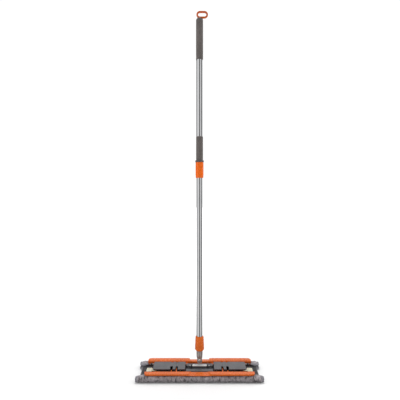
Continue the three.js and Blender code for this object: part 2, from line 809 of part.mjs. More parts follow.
// A jaw in its place at the back of the head. The front one has its own arms and is turned
// half round.
function jawBody(isFront) {
  const { halfLength, waistStart, waistEnd, cornerRadius, innerEdge, outerEdge } = JAW;
  const wing = wingSection();
  const waist = waistSection();
  const skin = loft([
    { x: -halfLength, ring: wing },
    { x: -waistEnd, ring: wing },
    { x: -waistStart, ring: waist },
    { x: waistStart, ring: waist },
    { x: waistEnd, ring: wing },
    { x: halfLength, ring: wing },
  ]);
  const plan = roundedRectangle(halfLength, outerEdge + 0.5, cornerRadius);
  let jaw = skin.intersect(extrudeUp(plan, 0, BEYOND, 3));
  for (const x of JAW.lugPositions) jaw = jaw.add(hingeLug(x));
  for (const x of ARMS.positions) jaw = join(jaw, leverArm(x, isFront), leverArm(-x, isFront));
  for (const x of WEBS.positions) {
    const { halfWidth, outer, bottom, top } = WEBS;
    jaw = jaw.add(box(x - halfWidth, x + halfWidth, innerEdge + 1, outer, bottom, top));
  }
  const { boreRadius, offset, height } = HINGE;
  return cut(jaw, rod("x", boreRadius, -halfLength, halfLength, offset, height, HOLE_ROUND));
}

// The right-hand pedal. The left one mirrors it. The lever arms show in long notches at its
// front, and at its back they pass under the panel to short ones.
function pedalBody() {
  const { inner, outer, halfDepth, underside, top, edgeBevel, cornerRadius } = PEDAL;
  const { skirtBottom, skirtOffset, skirtWall, notchWidth, notchStart, backNotchStart } = PEDAL;
  const section = shapeOf([
    [-halfDepth, underside],
    [halfDepth, underside],
    [halfDepth, top - edgeBevel],
    [halfDepth - edgeBevel, top],
    [-halfDepth + edgeBevel, top],
    [-halfDepth, top - edgeBevel],
  ]);
  const middle = (inner + outer) / 2;
  const plan = roundedRectangle((outer - inner) / 2, halfDepth, cornerRadius);
  const panel = extrudeAlong(section, inner, outer).intersect(
    extrudeUp(plan, 0, BEYOND, 1).translate(middle, 0, 0),
  );
  const [x0, x1, half] = [inner + skirtOffset, outer - skirtOffset, halfDepth - skirtOffset];
  const skirt = cut(
    box(x0, x1, -half, half, skirtBottom, underside + 1),
    box(x0 + skirtWall, x1 - skirtWall, skirtWall - half, half - skirtWall, 0, underside),
  );
  const seats = SPRING.positions.map((x) =>
    rod("z", SEAT.radius, underside - SEAT.height - 0.1, underside + 1, x, 0),
  );
  const ribs = PIN_RIBS.positions.flatMap((x) =>
    [-1, 1].map((side) => {
      const centre = side * PEDAL_PIN.offset;
      const { width, halfDepth: ribHalf, bottom } = PIN_RIBS;
      return box(x - width / 2, x + width / 2, centre - ribHalf, centre + ribHalf, bottom, underside + 1);
    }),
  );
  const notches = ARMS.positions.flatMap((x) => {
    const [from, to] = [x - notchWidth / 2, x + notchWidth / 2];
    return [
      box(from, to, -BEYOND, -notchStart, 0, BEYOND),
      box(from, to, backNotchStart, BEYOND, 0, BEYOND),
      box(from, to, notchStart, BEYOND, 0, underside),
    ];
  });
  const bores = [-1, 1].map((side) => {
    const { boreRadius, from, to, offset, height } = PEDAL_PIN;
    return rod("x", boreRadius, from - 5, to + 5, side * offset, height, HOLE_ROUND);
  });
  return cut(join(panel, skirt, ...seats, ...ribs), ...notches, ...bores);
}

// Pin that keeps the tips of the lever arms under the pedal.
function pedalPin(side) {
  const { from, to, radius, offset, height } = PEDAL_PIN;
  return rod("x", radius, from, to, side * offset, height, HOLE_ROUND);
}

class Helix extends THREE.Curve {
  constructor(radius, from, to, turns) {
    super();
    Object.assign(this, { radius, from, to, turns });
  }

  getPoint(t, target = new THREE.Vector3()) {
    const angle = 2 * Math.PI * this.turns * t;
    const height = lerp(this.from, this.to, t);
    return target.set(this.radius * Math.cos(angle), this.radius * Math.sin(angle), height);
  }
}

// Coil spring between the plate's seat and the pedal's seat.
function pedalSpring(x) {
  const { radius, wire, turns } = SPRING;
  const margin = wire + GAP + 0.2;
  const path = new Helix(radius, plateTop + margin, PEDAL.underside - margin, turns);
  const section = new THREE.Shape();
  section.absarc(0, 0, wire, 0, 2 * Math.PI);
  const steps = turns * 8;
  const wound = new THREE.ExtrudeGeometry(section, { steps, extrudePath: path, curveSegments: 3 });
  return solid(wound.translate(x, 0, 0));
}

// ---------- Assembly ----------

const mop = new THREE.Group();

function turned(...meshes) {
  const group = new THREE.Group();
  group.rotation.z = Math.PI;
  group.add(...meshes);
  return group;
}

// Head: cloth, plate, hub, hinge rods, stop blocks and screws.
mop.add(
  named("mop_cloth", clothBody(), fabric),
  named("base_plate", basePlate(), blackPlastic),
  named("centre_hub", centreHub(), greyPlastic),
  named("hinge_cradle", hingeCradle(), blackPlastic),
  named("front_hinge_rod", hingeRod(-1), steel),
  named("back_hinge_rod", hingeRod(1), steel),
  named("right_stop_block", stopBlock(), creamPlastic),
  turned(named("left_stop_block", stopBlock(), creamPlastic)),
);
for (const [name, places, top] of [
  ["hub_screw", HUB_SCREWS, HUB_SCREW_TOP],
  ["cradle_screw", CRADLE_SCREWS, CRADLE_SCREW_TOP],
  ["stop_screw", STOP_SCREWS, STOP_SCREW_TOP],
]) {
  places.forEach(([x, y], i) => mop.add(named(`${name}_${i + 1}`, screw(x, y, top), zinc)));
}

// Two-axis joint.
mop.add(
  named("barrel_axle", barrelAxle(), steel),
  named("left_axle_clip", axleClip(-1), steel),
  named("right_axle_clip", axleClip(1), steel),
  named("joint_tee", jointTee(), zinc),
  named("swivel_fork", swivelFork(), steel),
  named("fork_rivet", forkRivet(), steel),
  named("front_fork_washer", forkWasher(-1), nylon),
  named("back_fork_washer", forkWasher(1), nylon),
);

// Pole.
mop.add(
  named("pole_socket", poleSocket(), orange),
  named("thread_insert", threadInsert(), nylon),
  named("lower_tube", tube(LOWER_TUBE), steel),
  named("guide_bush", guideBush(), nylon),
  named("upper_tube", tube(UPPER_TUBE), steel),
  named("lock_body", lockBody(), greyPlastic),
  named("clamp_collet", clampCollet(), nylon),
  named("lock_nut", lockNut(), orange),
  named("middle_grip", middleGrip(), gripRubber),
  named("upper_grip", upperGrip(), gripRubber),
  named("grip_cap", gripCap(), gripRubber),
  named("hang_loop", hangLoop(), orange),
  named("loop_screw", loopScrew(), zinc),
);

// Cloth clamp.
mop.add(
  named("back_jaw", jawBody(false), orange),
  turned(named("front_jaw", jawBody(true), orange)),
  named("right_pedal", pedalBody(), greyPlastic),
  named("right_pedal_front_pin", pedalPin(-1), steel),
  named("right_pedal_back_pin", pedalPin(1), steel),
  named("left_pedal", mirrored(pedalBody()), greyPlastic),
  named("left_pedal_front_pin", mirrored(pedalPin(-1)), steel),
  named("left_pedal_back_pin", mirrored(pedalPin(1)), steel),
);
for (const [side, name] of [[-1, "left"], [1, "right"]]) {
  mop.add(
    named(`${name}_inner_spring`, pedalSpring(side * SPRING.positions[0]), steel),
    named(`${name}_outer_spring`, pedalSpring(side * SPRING.positions[1]), steel),
  );
}

export default mop;
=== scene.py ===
# The finished look of the flat mop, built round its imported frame. Metres, +Z up, -Y is the front.
# Each visible CAD node is replaced by a finer piece that sits in the same box and rides on its body.

import json
import math
import random

import bmesh
import bpy
import numpy as np
from mathutils import Matrix, Vector


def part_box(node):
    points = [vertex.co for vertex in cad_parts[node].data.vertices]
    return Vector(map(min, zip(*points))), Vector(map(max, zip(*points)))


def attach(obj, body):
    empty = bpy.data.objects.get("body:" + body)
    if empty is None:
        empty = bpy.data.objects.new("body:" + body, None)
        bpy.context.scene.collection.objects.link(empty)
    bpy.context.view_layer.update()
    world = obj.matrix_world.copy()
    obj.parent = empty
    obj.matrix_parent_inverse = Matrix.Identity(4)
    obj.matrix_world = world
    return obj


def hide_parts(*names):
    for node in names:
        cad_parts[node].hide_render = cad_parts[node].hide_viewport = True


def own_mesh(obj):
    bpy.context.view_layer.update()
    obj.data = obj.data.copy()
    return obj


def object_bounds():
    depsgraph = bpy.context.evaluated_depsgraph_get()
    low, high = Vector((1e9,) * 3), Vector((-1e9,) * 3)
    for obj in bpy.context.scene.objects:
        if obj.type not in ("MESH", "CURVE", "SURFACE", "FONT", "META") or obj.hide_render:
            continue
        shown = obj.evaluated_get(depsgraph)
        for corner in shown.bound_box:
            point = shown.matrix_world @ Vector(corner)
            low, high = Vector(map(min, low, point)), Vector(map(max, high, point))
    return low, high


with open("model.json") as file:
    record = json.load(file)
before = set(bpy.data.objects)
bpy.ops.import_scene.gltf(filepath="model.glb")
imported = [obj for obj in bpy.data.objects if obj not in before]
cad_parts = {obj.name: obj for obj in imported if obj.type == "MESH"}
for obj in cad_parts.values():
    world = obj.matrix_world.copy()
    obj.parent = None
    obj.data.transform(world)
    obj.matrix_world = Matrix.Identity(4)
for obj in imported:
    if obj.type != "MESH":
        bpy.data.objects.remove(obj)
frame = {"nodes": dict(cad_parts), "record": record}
cad_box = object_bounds()

MM = 0.001
SEED = 7
BODY_OF = {node: body for body, nodes in frame["record"]["behaviour"]["bodies"].items() for node in nodes}
SLOT_OF = {part["node"]: part["material_slot"] for part in frame["record"]["subparts"]}
ALONG_X = Matrix.Rotation(math.pi / 2, 4, "Y")  # turns the Z axis to X
ALONG_Y = Matrix.Rotation(-math.pi / 2, 4, "X")  # turns the Z axis to Y
HALF_TURN = Matrix.Rotation(math.pi, 4, "Z")
FROM_YZ = Matrix(((0, 0, 1, 0), (1, 0, 0, 0), (0, 1, 0, 0), (0, 0, 0, 1)))  # outline (y, z), depth along X
FROM_XZ = Matrix(((1, 0, 0, 0), (0, 0, -1, 0), (0, 1, 0, 0), (0, 0, 0, 1)))  # outline (x, z), depth along -Y
MIRROR = Matrix.Diagonal((-1, 1, 1, 1))  # across the plane X = 0


# ---------- Small tools ----------

def box_mm(node):
    """A node's box at rest, in millimetres: (x0, y0, z0), (x1, y1, z1)."""
    low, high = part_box(node)
    return low / MM, high / MM


def span(node):
    """Bottom, top and outer radius, in millimetres, of a part that stands on the pole's axis."""
    low, high = box_mm(node)
    return low.z, high.z, high.x


def lerp(a, b, t):
    return a + (b - a) * t


def smoothstep(a, b, x):
    t = np.clip((x - a) / (b - a), 0, 1)
    return t * t * (3 - 2 * t)


def window(x, a, b, fade):
    """1 between a and b, fading to 0 outside them."""
    return smoothstep(a - fade, a, x) * (1 - smoothstep(b, b + fade, x))


# ---------- Meshes (their sizes are given in millimetres) ----------

def make_object(name, vertices, faces, place=None, crease=34):
    mesh = bpy.data.meshes.new(name)
    mesh.from_pydata([tuple(float(c) * MM for c in v) for v in vertices], [], faces)
    if place is not None:
        turn = place.copy()
        turn.translation = turn.translation * MM
        mesh.transform(turn)
    work = bmesh.new()
    work.from_mesh(mesh)
    bmesh.ops.recalc_face_normals(work, faces=work.faces)
    work.to_mesh(mesh)
    work.free()
    obj = bpy.data.objects.new(name, mesh)
    bpy.context.scene.collection.objects.link(obj)
    shade(obj, crease)
    return obj


def shade(obj, crease=34):
    """Smooth shading, with sharp edges where faces meet at more than the crease angle."""
    obj.data.shade_smooth()
    obj.data.set_sharp_from_angle(angle=math.radians(crease))


def even_out(obj):
    """Lets large faces set the shading, so that flat faces stay flat beside their rounded edges."""
    step = obj.modifiers.new("normals", "WEIGHTED_NORMAL")
    step.keep_sharp = True
    settle(obj)


def settle(obj):
    """Applies the object's modifiers."""
    graph = bpy.context.evaluated_depsgraph_get()
    mesh = bpy.data.meshes.new_from_object(obj.evaluated_get(graph))
    obj.modifiers.clear()
    obj.data = mesh


def combine(obj, tools, operation="UNION", crease=34):
    """Joins the tools to the object, or cuts them from it, and removes them."""
    for tool in tools:
        step = obj.modifiers.new(operation, "BOOLEAN")
        step.operation = operation
        step.solver = "EXACT"
        step.object = tool
    settle(obj)
    for tool in tools:
        bpy.data.objects.remove(tool)
    shade(obj, crease)
    return obj


def soften(points, radius, steps=3, closed=True):
    """Rounds the corners of a polyline. A point's third number is a radius of its own."""
    result = []
    for index, point in enumerate(points):
        corner = Vector(point[:2])
        reach = point[2] if len(point) > 2 else radius
        is_end = not closed and index in (0, len(points) - 1)
        if is_end or reach == 0:
            result.append(corner)
            continue
        before = Vector(points[index - 1][:2]) - corner
        after = Vector(points[(index + 1) % len(points)][:2]) - corner
        cut = reach / math.tan(before.angle(after) / 2)
        cut = min(cut, 0.48 * before.length, 0.48 * after.length)
        start = corner + before.normalized() * cut
        end = corner + after.normalized() * cut
        for step in range(steps + 1):
            t = step / steps
            result.append(start.lerp(corner, t).lerp(corner.lerp(end, t), t))
    return result


def arc(centre_a, centre_b, radius, start, end, steps):
    """Points on an arc, with its angles in degrees."""
    angles = [math.radians(lerp(start, end, step / steps)) for step in range(steps + 1)]
    return [(centre_a + radius * math.cos(t), centre_b + radius * math.sin(t)) for t in angles]


def rounded_rectangle(half_a, half_b, radius, steps=6):
    corners = [(1, -1, -90), (1, 1, 0), (-1, 1, 90), (-1, -1, 180)]
    return [
        point
        for a, b, start in corners
        for point in arc(a * (half_a - radius), b * (half_b - radius), radius, start, start + 90, steps)
    ]


def finely(profile, step):
    """Adds points along a polyline so that none lie further apart than step."""
    result = [Vector(profile[0][:2])]
    for end in profile[1:]:
        start, end = result[-1].copy(), Vector(end[:2])
        parts = max(1, math.ceil((end - start).length / step))
        result += [start.lerp(end, part / parts) for part in range(1, parts + 1)]
    return result


def finely_closed(outline, step):
    """finely for an outline that closes on itself."""
    return finely(outline + outline[:1], step)[:-1]


def lathe(name, profile, sides=72, relief=None, place=None):
    """A body of revolution about Z from (radius, height) points. An outline that doesn't start on
    the axis closes on itself. relief(angle, height, radius) is added to the radius."""
    vertices, rings = [], []
    for radius, height in profile:
        first = len(vertices)
        if radius < 1e-6:
            vertices.append((0, 0, height))
            rings.append([first] * sides)
            continue
        for side in range(sides):
            angle = 2 * math.pi * side / sides
            reach = radius + (relief(angle, height, radius) if relief else 0)
            vertices.append((reach * math.cos(angle), reach * math.sin(angle), height))
        rings.append(list(range(first, first + sides)))
    on_axis = profile[0][0] < 1e-6
    faces = []
    for lower, upper in zip(rings, rings[1:] if on_axis else rings[1:] + rings[:1]):
        for side in range(sides):
            other = (side + 1) % sides
            face = [lower[side], lower[other], upper[other], upper[side]]
            faces.append(list(dict.fromkeys(face)))
    return make_object(name, vertices, faces, place)


def skin(name, rings, place=None, crease=34, closed=False):
    """Skins rings of 3-D points, and caps both ends unless the rings close into a loop."""
    size = len(rings[0])
    vertices = [point for ring in rings for point in ring]
    faces = []
    for row in range(len(rings) if closed else len(rings) - 1):
        lower, upper = row * size, (row + 1) % len(rings) * size
        for side in range(size):
            other = (side + 1) % size
            faces.append((lower + side, lower + other, upper + other, upper + side))
    if not closed:
        last = (len(rings) - 1) * size
        faces += [tuple(reversed(range(size))), tuple(range(last, last + size))]
    return make_object(name, vertices, faces, place, crease)


def inset(outline, distance):
    """The outline moved inwards by a distance small beside its features."""
    points = np.array([tuple(p)[:2] for p in outline], float)
    following = np.roll(points, -1, axis=0)
    ahead = following - points
    if np.sum(points[:, 0] * following[:, 1] - points[:, 1] * following[:, 0]) < 0:
        distance = -distance
    side = np.stack([-ahead[:, 1], ahead[:, 0]], axis=1)
    side /= np.maximum(np.linalg.norm(side, axis=1, keepdims=True), 1e-9)
    behind = np.roll(side, 1, axis=0)
    mitre = (side + behind) / (1 + np.sum(side * behind, axis=1, keepdims=True))
    return points + mitre * distance


def slab(name, outline, low, high, edge=0.5, lower_edge=None, place=None, steps=3):
    """Extrudes an outline in (x, y) from z low to high, with rounded edges round both faces."""
    lower_edge = edge if lower_edge is None else lower_edge
    outline = distinct(outline)
    rings = []
    for step in range(steps + 1):
        turn = math.pi / 2 * step / steps
        level = low + lower_edge * (1 - math.cos(turn))
        rings.append([(x, y, level) for x, y in inset(outline, lower_edge * (1 - math.sin(turn)))])
    for step in range(steps, -1, -1):
        turn = math.pi / 2 * step / steps
        level = high - edge * (1 - math.cos(turn))
        rings.append([(x, y, level) for x, y in inset(outline, edge * (1 - math.sin(turn)))])
    return skin(name, rings, place)


def distinct(outline):
    """The outline without points that repeat the one before them."""
    points = [Vector(tuple(p)[:2]) for p in outline]
    return [p for i, p in enumerate(points) if (p - points[i - 1]).length > 1e-5]


def block(name, x0, x1, y0, y1, z0, z1, edge=0.3, round_to=0.6):
    """A moulded block with rounded edges."""
    outline = [(x0, y0), (x1, y0), (x1, y1), (x0, y1)]
    return slab(name, soften(outline, round_to), z0, z1, edge, steps=2)


def sweep(name, path, section, closed=False):
    """Carries a section of (across, up) points along a path. up is the direction nearest to +Z,
    or the one that path points give as (point, up)."""
    rings = []
    count = len(path)
    for index, (point, up) in enumerate(path):
        ahead = path[(index + 1) % count if closed else min(index + 1, count - 1)][0]
        behind = path[index - 1 if closed else max(index - 1, 0)][0]
        along = (Vector(ahead) - Vector(behind)).normalized()
        across = along.cross(Vector(up)).normalized()
        upright = across.cross(along)
        rings.append([Vector(point) + across * a + upright * b for a, b in section])
    return skin(name, rings, crease=50, closed=closed)


def circle(radius, sides):
    turns = [2 * math.pi * side / sides for side in range(sides)]
    return [(radius * math.cos(turn), radius * math.sin(turn)) for turn in turns]


def flipped(points):
    """An outline's points in reverse order, with their first numbers negative."""
    return [(-point[0], *point[1:]) for point in reversed(points)]


def along_x(y, z):
    """A place whose Z axis lies along X, at (y, z)."""
    return Matrix.Translation((0, y, z)) @ ALONG_X


def drill(radius, start, end, place=None, sides=28):
    """A tool for a round hole, which runs from start to end along Z before it is placed."""
    return lathe("drill", [(0, start), (radius, start), (radius, end), (0, end)], sides, place=place)


def boss(x, radius, bottom, top, bottom_edge=0.1, top_edge=0.1, sides=32):
    """An upright round boss on the head's middle line."""
    profile = [(0, bottom), (radius, bottom, bottom_edge), (radius, top, top_edge), (0, top)]
    return lathe("boss", soften(profile, 0, closed=False), sides, place=Matrix.Translation((x, 0, 0)))


# ---------- Materials ----------

def linear(red, green, blue):
    """A colour given as 8-bit sRGB, in linear light."""
    channels = [c / 255 for c in (red, green, blue)]
    return tuple(c / 12.92 if c <= 0.04045 else ((c + 0.055) / 1.055) ** 2.4 for c in channels) + (1.0,)


def set_stops(ramp, stops):
    """Gives a colour ramp its stops, (place, colour), in rising order."""
    while len(ramp.elements) > 1:
        ramp.elements.remove(ramp.elements[-1])
    ramp.elements[0].position, ramp.elements[0].color = stops[0]
    for place, colour in stops[1:]:
        ramp.elements.new(place).color = colour


class Nodes:
    """Short ways to add nodes to a node tree."""

    def __init__(self, tree):
        self.tree = tree

    def node(self, kind, **settings):
        made = self.tree.nodes.new(kind)
        for key, value in settings.items():
            setattr(made, key, value)
        return made

    def put(self, socket, value):
        if isinstance(value, bpy.types.NodeSocket):
            self.tree.links.new(value, socket)
        else:
            socket.default_value = value

    def part_of(self, vector, axis):
        """One coordinate of a vector, by its name: X, Y or Z."""
        split = self.node("ShaderNodeSeparateXYZ")
        self.put(split.inputs[0], vector)
        return split.outputs[axis]

    def math(self, operation, a, b=0.0):
        made = self.node("ShaderNodeMath", operation=operation)
        self.put(made.inputs[0], a)
        self.put(made.inputs[1], b)
        return made.outputs[0]

    def span(self, value, low, high, to_low, to_high):
        made = self.node("ShaderNodeMapRange")
        for socket, number in zip(made.inputs, (value, low, high, to_low, to_high)):
            self.put(socket, number)
        return made.outputs[0]

    def ramp(self, value, *stops):
        """A colour for each place along value."""
        made = self.node("ShaderNodeValToRGB")
        self.put(made.inputs[0], value)
        set_stops(made.color_ramp, stops)
        return made.outputs[0]

    def mix(self, factor, a, b, blend="MIX"):
        made = self.node("ShaderNodeMix", data_type="RGBA", blend_type=blend)
        self.put(made.inputs[0], factor)
        self.put(made.inputs[6], a)
        self.put(made.inputs[7], b)
        return made.outputs[2]


class Look(Nodes):
    """A Principled material, with short ways to give it patterns."""

    def __init__(self, name, **sockets):
        self.material = bpy.data.materials.new(name)
        self.material.use_nodes = True
        super().__init__(self.material.node_tree)
        self.shader = self.tree.nodes["Principled BSDF"]
        self.place = self.node("ShaderNodeTexCoord").outputs["Object"]
        for socket, value in sockets.items():
            self.shader.inputs[socket.replace("_", " ")].default_value = value

    def stretch(self, x, y, z):
        """Object coordinates scaled by different amounts along each axis."""
        scaled = self.node("ShaderNodeVectorMath", operation="MULTIPLY")
        self.put(scaled.inputs[0], self.place)
        self.put(scaled.inputs[1], (x, y, z))
        return scaled.outputs[0]

    def noise(self, scale, detail=3.0, roughness=0.55, vector=None):
        made = self.node("ShaderNodeTexNoise")
        self.put(made.inputs["Vector"], vector or self.place)
        self.put(made.inputs["Scale"], scale)
        self.put(made.inputs["Detail"], detail)
        self.put(made.inputs["Roughness"], roughness)
        return made.outputs[0]

    def cells(self, scale):
        made = self.node("ShaderNodeTexVoronoi")
        self.put(made.inputs["Vector"], self.place)
        self.put(made.inputs["Scale"], scale)
        return made.outputs["Distance"]

    def attribute(self, name):
        return self.node("ShaderNodeAttribute", attribute_name=name).outputs["Fac"]

    def edges(self, radius):
        """1 on the edges of the shape, 0 on its flat faces."""
        softened = self.node("ShaderNodeBevel", samples=4)
        self.put(softened.inputs["Radius"], radius)
        compare = self.node("ShaderNodeVectorMath", operation="DOT_PRODUCT")
        self.put(compare.inputs[0], softened.outputs[0])
        self.put(compare.inputs[1], self.node("ShaderNodeNewGeometry").outputs["Normal"])
        return self.span(compare.outputs["Value"], 0.80, 0.99, 1.0, 0.0)

    def rubbed(self, radius, scale, least, most):
        """How far the edges are rubbed bright, more in some patches than in others."""
        patches = self.span(self.noise(scale), 0.4, 0.6, least, most)
        return self.math("MULTIPLY", self.edges(radius), patches)

    def bump(self, height, strength, distance, below=None):
        made = self.node("ShaderNodeBump")
        self.put(made.inputs["Strength"], strength)
        self.put(made.inputs["Distance"], distance)
        self.put(made.inputs["Height"], height)
        if below is not None:
            self.put(made.inputs["Normal"], below)
        return made.outputs[0]

    def wear(self, socket, value):
        """Gives one of the shader's inputs a value or a pattern."""
        self.put(self.shader.inputs[socket], value)


def moulded(name, deep, pale, worn, roughness, grain, grain_height, **sockets):
    """Moulded plastic: cloudy colour, grain, faint scuffs and paler rubbed edges."""
    look = Look(name, **sockets)
    clouds = look.noise(28.0, 4.0)
    colour = look.ramp(clouds, (0.3, deep), (0.7, pale))
    scuffs = look.noise(55.0, 5.0, 0.7, look.stretch(1.0, 3.0, 0.6))
    rubbed = look.math("MULTIPLY", look.edges(0.0007), look.span(scuffs, 0.42, 0.62, 0.15, 0.75))
    look.wear("Base Color", look.mix(rubbed, colour, worn))
    look.wear("Roughness", look.span(look.noise(190.0, 5.0, 0.65), 0.3, 0.7, *roughness))
    fine = look.bump(look.noise(grain, 2.0), 0.35, grain_height)
    look.wear("Normal", look.bump(scuffs, 0.12, 0.0002, fine))
    return look.material


def orange_plastic(name, deep, pale):
    worn = linear(248, 164, 104)
    return moulded(name, deep, pale, worn, (0.22, 0.32), 2600.0, 0.00003, Specular_IOR_Level=0.42)


def grey_plastic():
    colours = linear(80, 79, 82), linear(94, 92, 94), linear(140, 137, 136)
    return moulded("grey_plastic", *colours, (0.34, 0.46), 1900.0, 0.00006, Specular_IOR_Level=0.5)


def black_plastic():
    colours = linear(38, 37, 40), linear(54, 52, 56), linear(92, 90, 92)
    return moulded("black_plastic", *colours, (0.42, 0.56), 1700.0, 0.00006, Specular_IOR_Level=0.45)


def cream_plastic():
    return moulded(
        "cream_plastic", linear(200, 196, 172), linear(216, 212, 192), linear(238, 235, 222),
        (0.36, 0.48), 2200.0, 0.00004, Subsurface_Weight=0.12, Subsurface_Scale=0.002,
    )


def nylon():
    return moulded(
        "nylon", linear(206, 204, 196), linear(222, 220, 212), linear(238, 236, 230),
        (0.40, 0.52), 2400.0, 0.00003, Subsurface_Weight=0.15, Subsurface_Scale=0.002,
    )


def grip_rubber():
    """Soft-touch rubber: matt, with a fine skin, dust in its grooves and a faint sheen."""
    look = Look("grip_rubber", Sheen_Weight=0.12, Sheen_Roughness=0.5, Specular_IOR_Level=0.4)
    clouds = look.noise(34.0, 4.0)
    colour = look.ramp(clouds, (0.3, linear(98, 92, 89)), (0.72, linear(111, 104, 101)))
    rubbed = look.rubbed(0.0005, 260.0, 0.1, 0.6)
    look.wear("Base Color", look.mix(rubbed, colour, linear(150, 143, 139)))
    look.wear("Roughness", look.span(look.noise(120.0, 4.0), 0.3, 0.7, 0.50, 0.66))
    pores = look.bump(look.cells(1500.0), 0.3, 0.00005)
    look.wear("Normal", look.bump(look.noise(3000.0, 2.0), 0.25, 0.00003, pores))
    return look.material


def steel():
    """Polished steel tube: drawn along its length, with faint handling marks."""
    look = Look("steel", Metallic=1.0)
    drawn = look.noise(1.0, 4.0, 0.6, look.stretch(1500.0, 1500.0, 6.0))
    smears = look.noise(1.0, 3.0, 0.5, look.stretch(70.0, 70.0, 22.0))
    look.wear("Base Color", look.ramp(smears, (0.3, linear(214, 215, 217)), (0.7, linear(229, 229, 230))))
    marks = look.math("ADD", look.math("MULTIPLY", smears, 0.6), look.math("MULTIPLY", drawn, 0.4))
    look.wear("Roughness", look.span(marks, 0.3, 0.7, 0.07, 0.14))
    look.wear("Normal", look.bump(drawn, 0.10, 0.00002))
    return look.material


def satin_steel():
    """Pressed steel with a dull brushed skin."""
    look = Look("satin_steel", Metallic=0.75)
    brushed = look.noise(1.0, 4.0, 0.6, look.stretch(900.0, 900.0, 40.0))
    clouds = look.noise(140.0, 4.0)
    colour = look.ramp(clouds, (0.3, linear(150, 152, 150)), (0.7, linear(186, 188, 186)))
    rubbed = look.rubbed(0.0005, 300.0, 0.2, 0.8)
    look.wear("Base Color", look.mix(rubbed, colour, linear(222, 223, 221)))
    look.wear("Roughness", look.span(brushed, 0.3, 0.7, 0.34, 0.5))
    look.wear("Normal", look.bump(brushed, 0.2, 0.00004))
    return look.material


def zinc():
    """Bright plated casting: a slightly orange-peel skin, with brighter rubbed edges."""
    look = Look("zinc", Metallic=1.0)
    clouds = look.noise(90.0, 4.0)
    bright = look.ramp(clouds, (0.3, linear(226, 226, 225)), (0.7, linear(240, 240, 238)))
    rubbed = look.rubbed(0.0006, 300.0, 0.2, 0.8)
    look.wear("Base Color", look.mix(rubbed, bright, linear(240, 240, 238)))
    look.wear("Roughness", look.span(look.noise(240.0, 5.0), 0.3, 0.7, 0.28, 0.42))
    look.wear("Normal", look.bump(look.noise(700.0, 3.0), 0.25, 0.00006))
    return look.material


def fabric():
    """Chenille pile: each tuft its own grey, with painted shade in the hollows between the tufts and
    painted light and shade that make it lighter up the folds and darker near the floor, with a smooth bound
    hem."""
    look = Look("fabric", Sheen_Weight=0.3, Sheen_Roughness=0.45, Specular_IOR_Level=0.15)
    dark, middle, light = linear(116, 111, 114), linear(140, 134, 137), linear(164, 157, 159)
    tuft = look.ramp(look.attribute("tint"), (0.0, dark), (0.5, middle), (1.0, light))
    # Painted shade: the hollows between the tufts are darkened by the pile height, and the fibre noise varies
    # the tone.
    hollow = look.span(look.attribute("pile"), 0.1, 0.9, 0.42, 1.0)
    fibres = look.noise(900.0, 4.0, 0.7)
    crevice_shade_and_fibres = look.math("MULTIPLY", hollow, look.span(fibres, 0.3, 0.7, 0.78, 1.10))
    # Painted light and shade: the cloth is lighter towards the top of its folds and darker towards the floor.
    painted_height_shading = look.span(look.part_of(look.place, "Z"), 0.006, 0.019, 0.74, 1.3)
    pile = look.mix(1.0, look.mix(1.0, tuft, crevice_shade_and_fibres, "MULTIPLY"), painted_height_shading, "MULTIPLY")
    weave = look.node("ShaderNodeTexWave", wave_type="BANDS", bands_direction="DIAGONAL")
    look.put(weave.inputs["Vector"], look.place)
    look.put(weave.inputs["Scale"], 420.0)
    look.put(weave.inputs["Distortion"], 1.5)
    hem = look.ramp(weave.outputs[1], (0.2, linear(112, 110, 115)), (0.8, linear(136, 134, 139)))
    look.wear("Base Color", look.mix(look.attribute("hem"), pile, hem))
    look.wear("Roughness", look.span(fibres, 0.3, 0.7, 0.82, 0.98))
    threads = look.bump(weave.outputs[1], 0.25, 0.0001)
    look.wear("Normal", look.bump(fibres, 0.6, 0.0005, threads))
    return look.material


def thread():
    """Sewing thread: pale grey and twisted."""
    look = Look("thread", Specular_IOR_Level=0.3)
    twist = look.noise(2200.0, 2.0)
    look.wear("Base Color", look.ramp(twist, (0.3, linear(146, 144, 148)), (0.7, linear(176, 174, 178))))
    look.wear("Roughness", look.span(twist, 0.3, 0.7, 0.6, 0.8))
    look.wear("Normal", look.bump(twist, 0.4, 0.0001))
    return look.material


LOOKS = {
    # The jaws' orange is a darker copy of the same orange plastic as the socket's below, darkened for the
    # strong top light on the jaws: painted shade.
    "orange_plastic": orange_plastic("orange_plastic", linear(198, 90, 20), linear(214, 99, 28)),
    "grey_plastic": grey_plastic(),
    "black_plastic": black_plastic(),
    "cream_plastic": cream_plastic(),
    "grip_rubber": grip_rubber(),
    "nylon": nylon(),
    "steel": steel(),
    "zinc": zinc(),
    "fabric": fabric(),
}
THREAD = thread()
SATIN_STEEL = satin_steel()
# Brighter copies of the same orange plastic for the socket and the lock nut, set for how the light falls on
# them: painted light.
SOCKET_ORANGE = orange_plastic("socket_orange", linear(212, 96, 8), linear(228, 108, 16))
LOCK_ORANGE = orange_plastic("lock_orange", linear(246, 104, 4), linear(255, 116, 10))


def finish_of(obj, slot, look=None):
    obj.data.materials.clear()
    obj.data.materials.append(look or LOOKS[slot])


def stand_for(obj, node, look=None):
    """obj takes a CAD node's place, with its body and finish."""
    even_out(obj)
    finish_of(obj, SLOT_OF[node], look)
    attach(obj, BODY_OF[node])
    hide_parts(node)
    return obj


def name_for(node):
    return node + "_fine"


# ---------- Pole ----------

GRIP_BORE = 11.55  # inner radius of what sits on the upper tube


def flutes(count, depth, bottom, top, bore, fade=2.5):
    """Shallow grip flutes between two heights, for lathe's relief. The wall of the bore stays round."""
    def relief(angle, height, radius):
        if radius < bore + 0.5:
            return 0.0
        wave = 0.5 + 0.5 * math.cos(count * angle)
        return -depth * wave ** 2 * float(window(height, bottom, top, fade))
    return relief


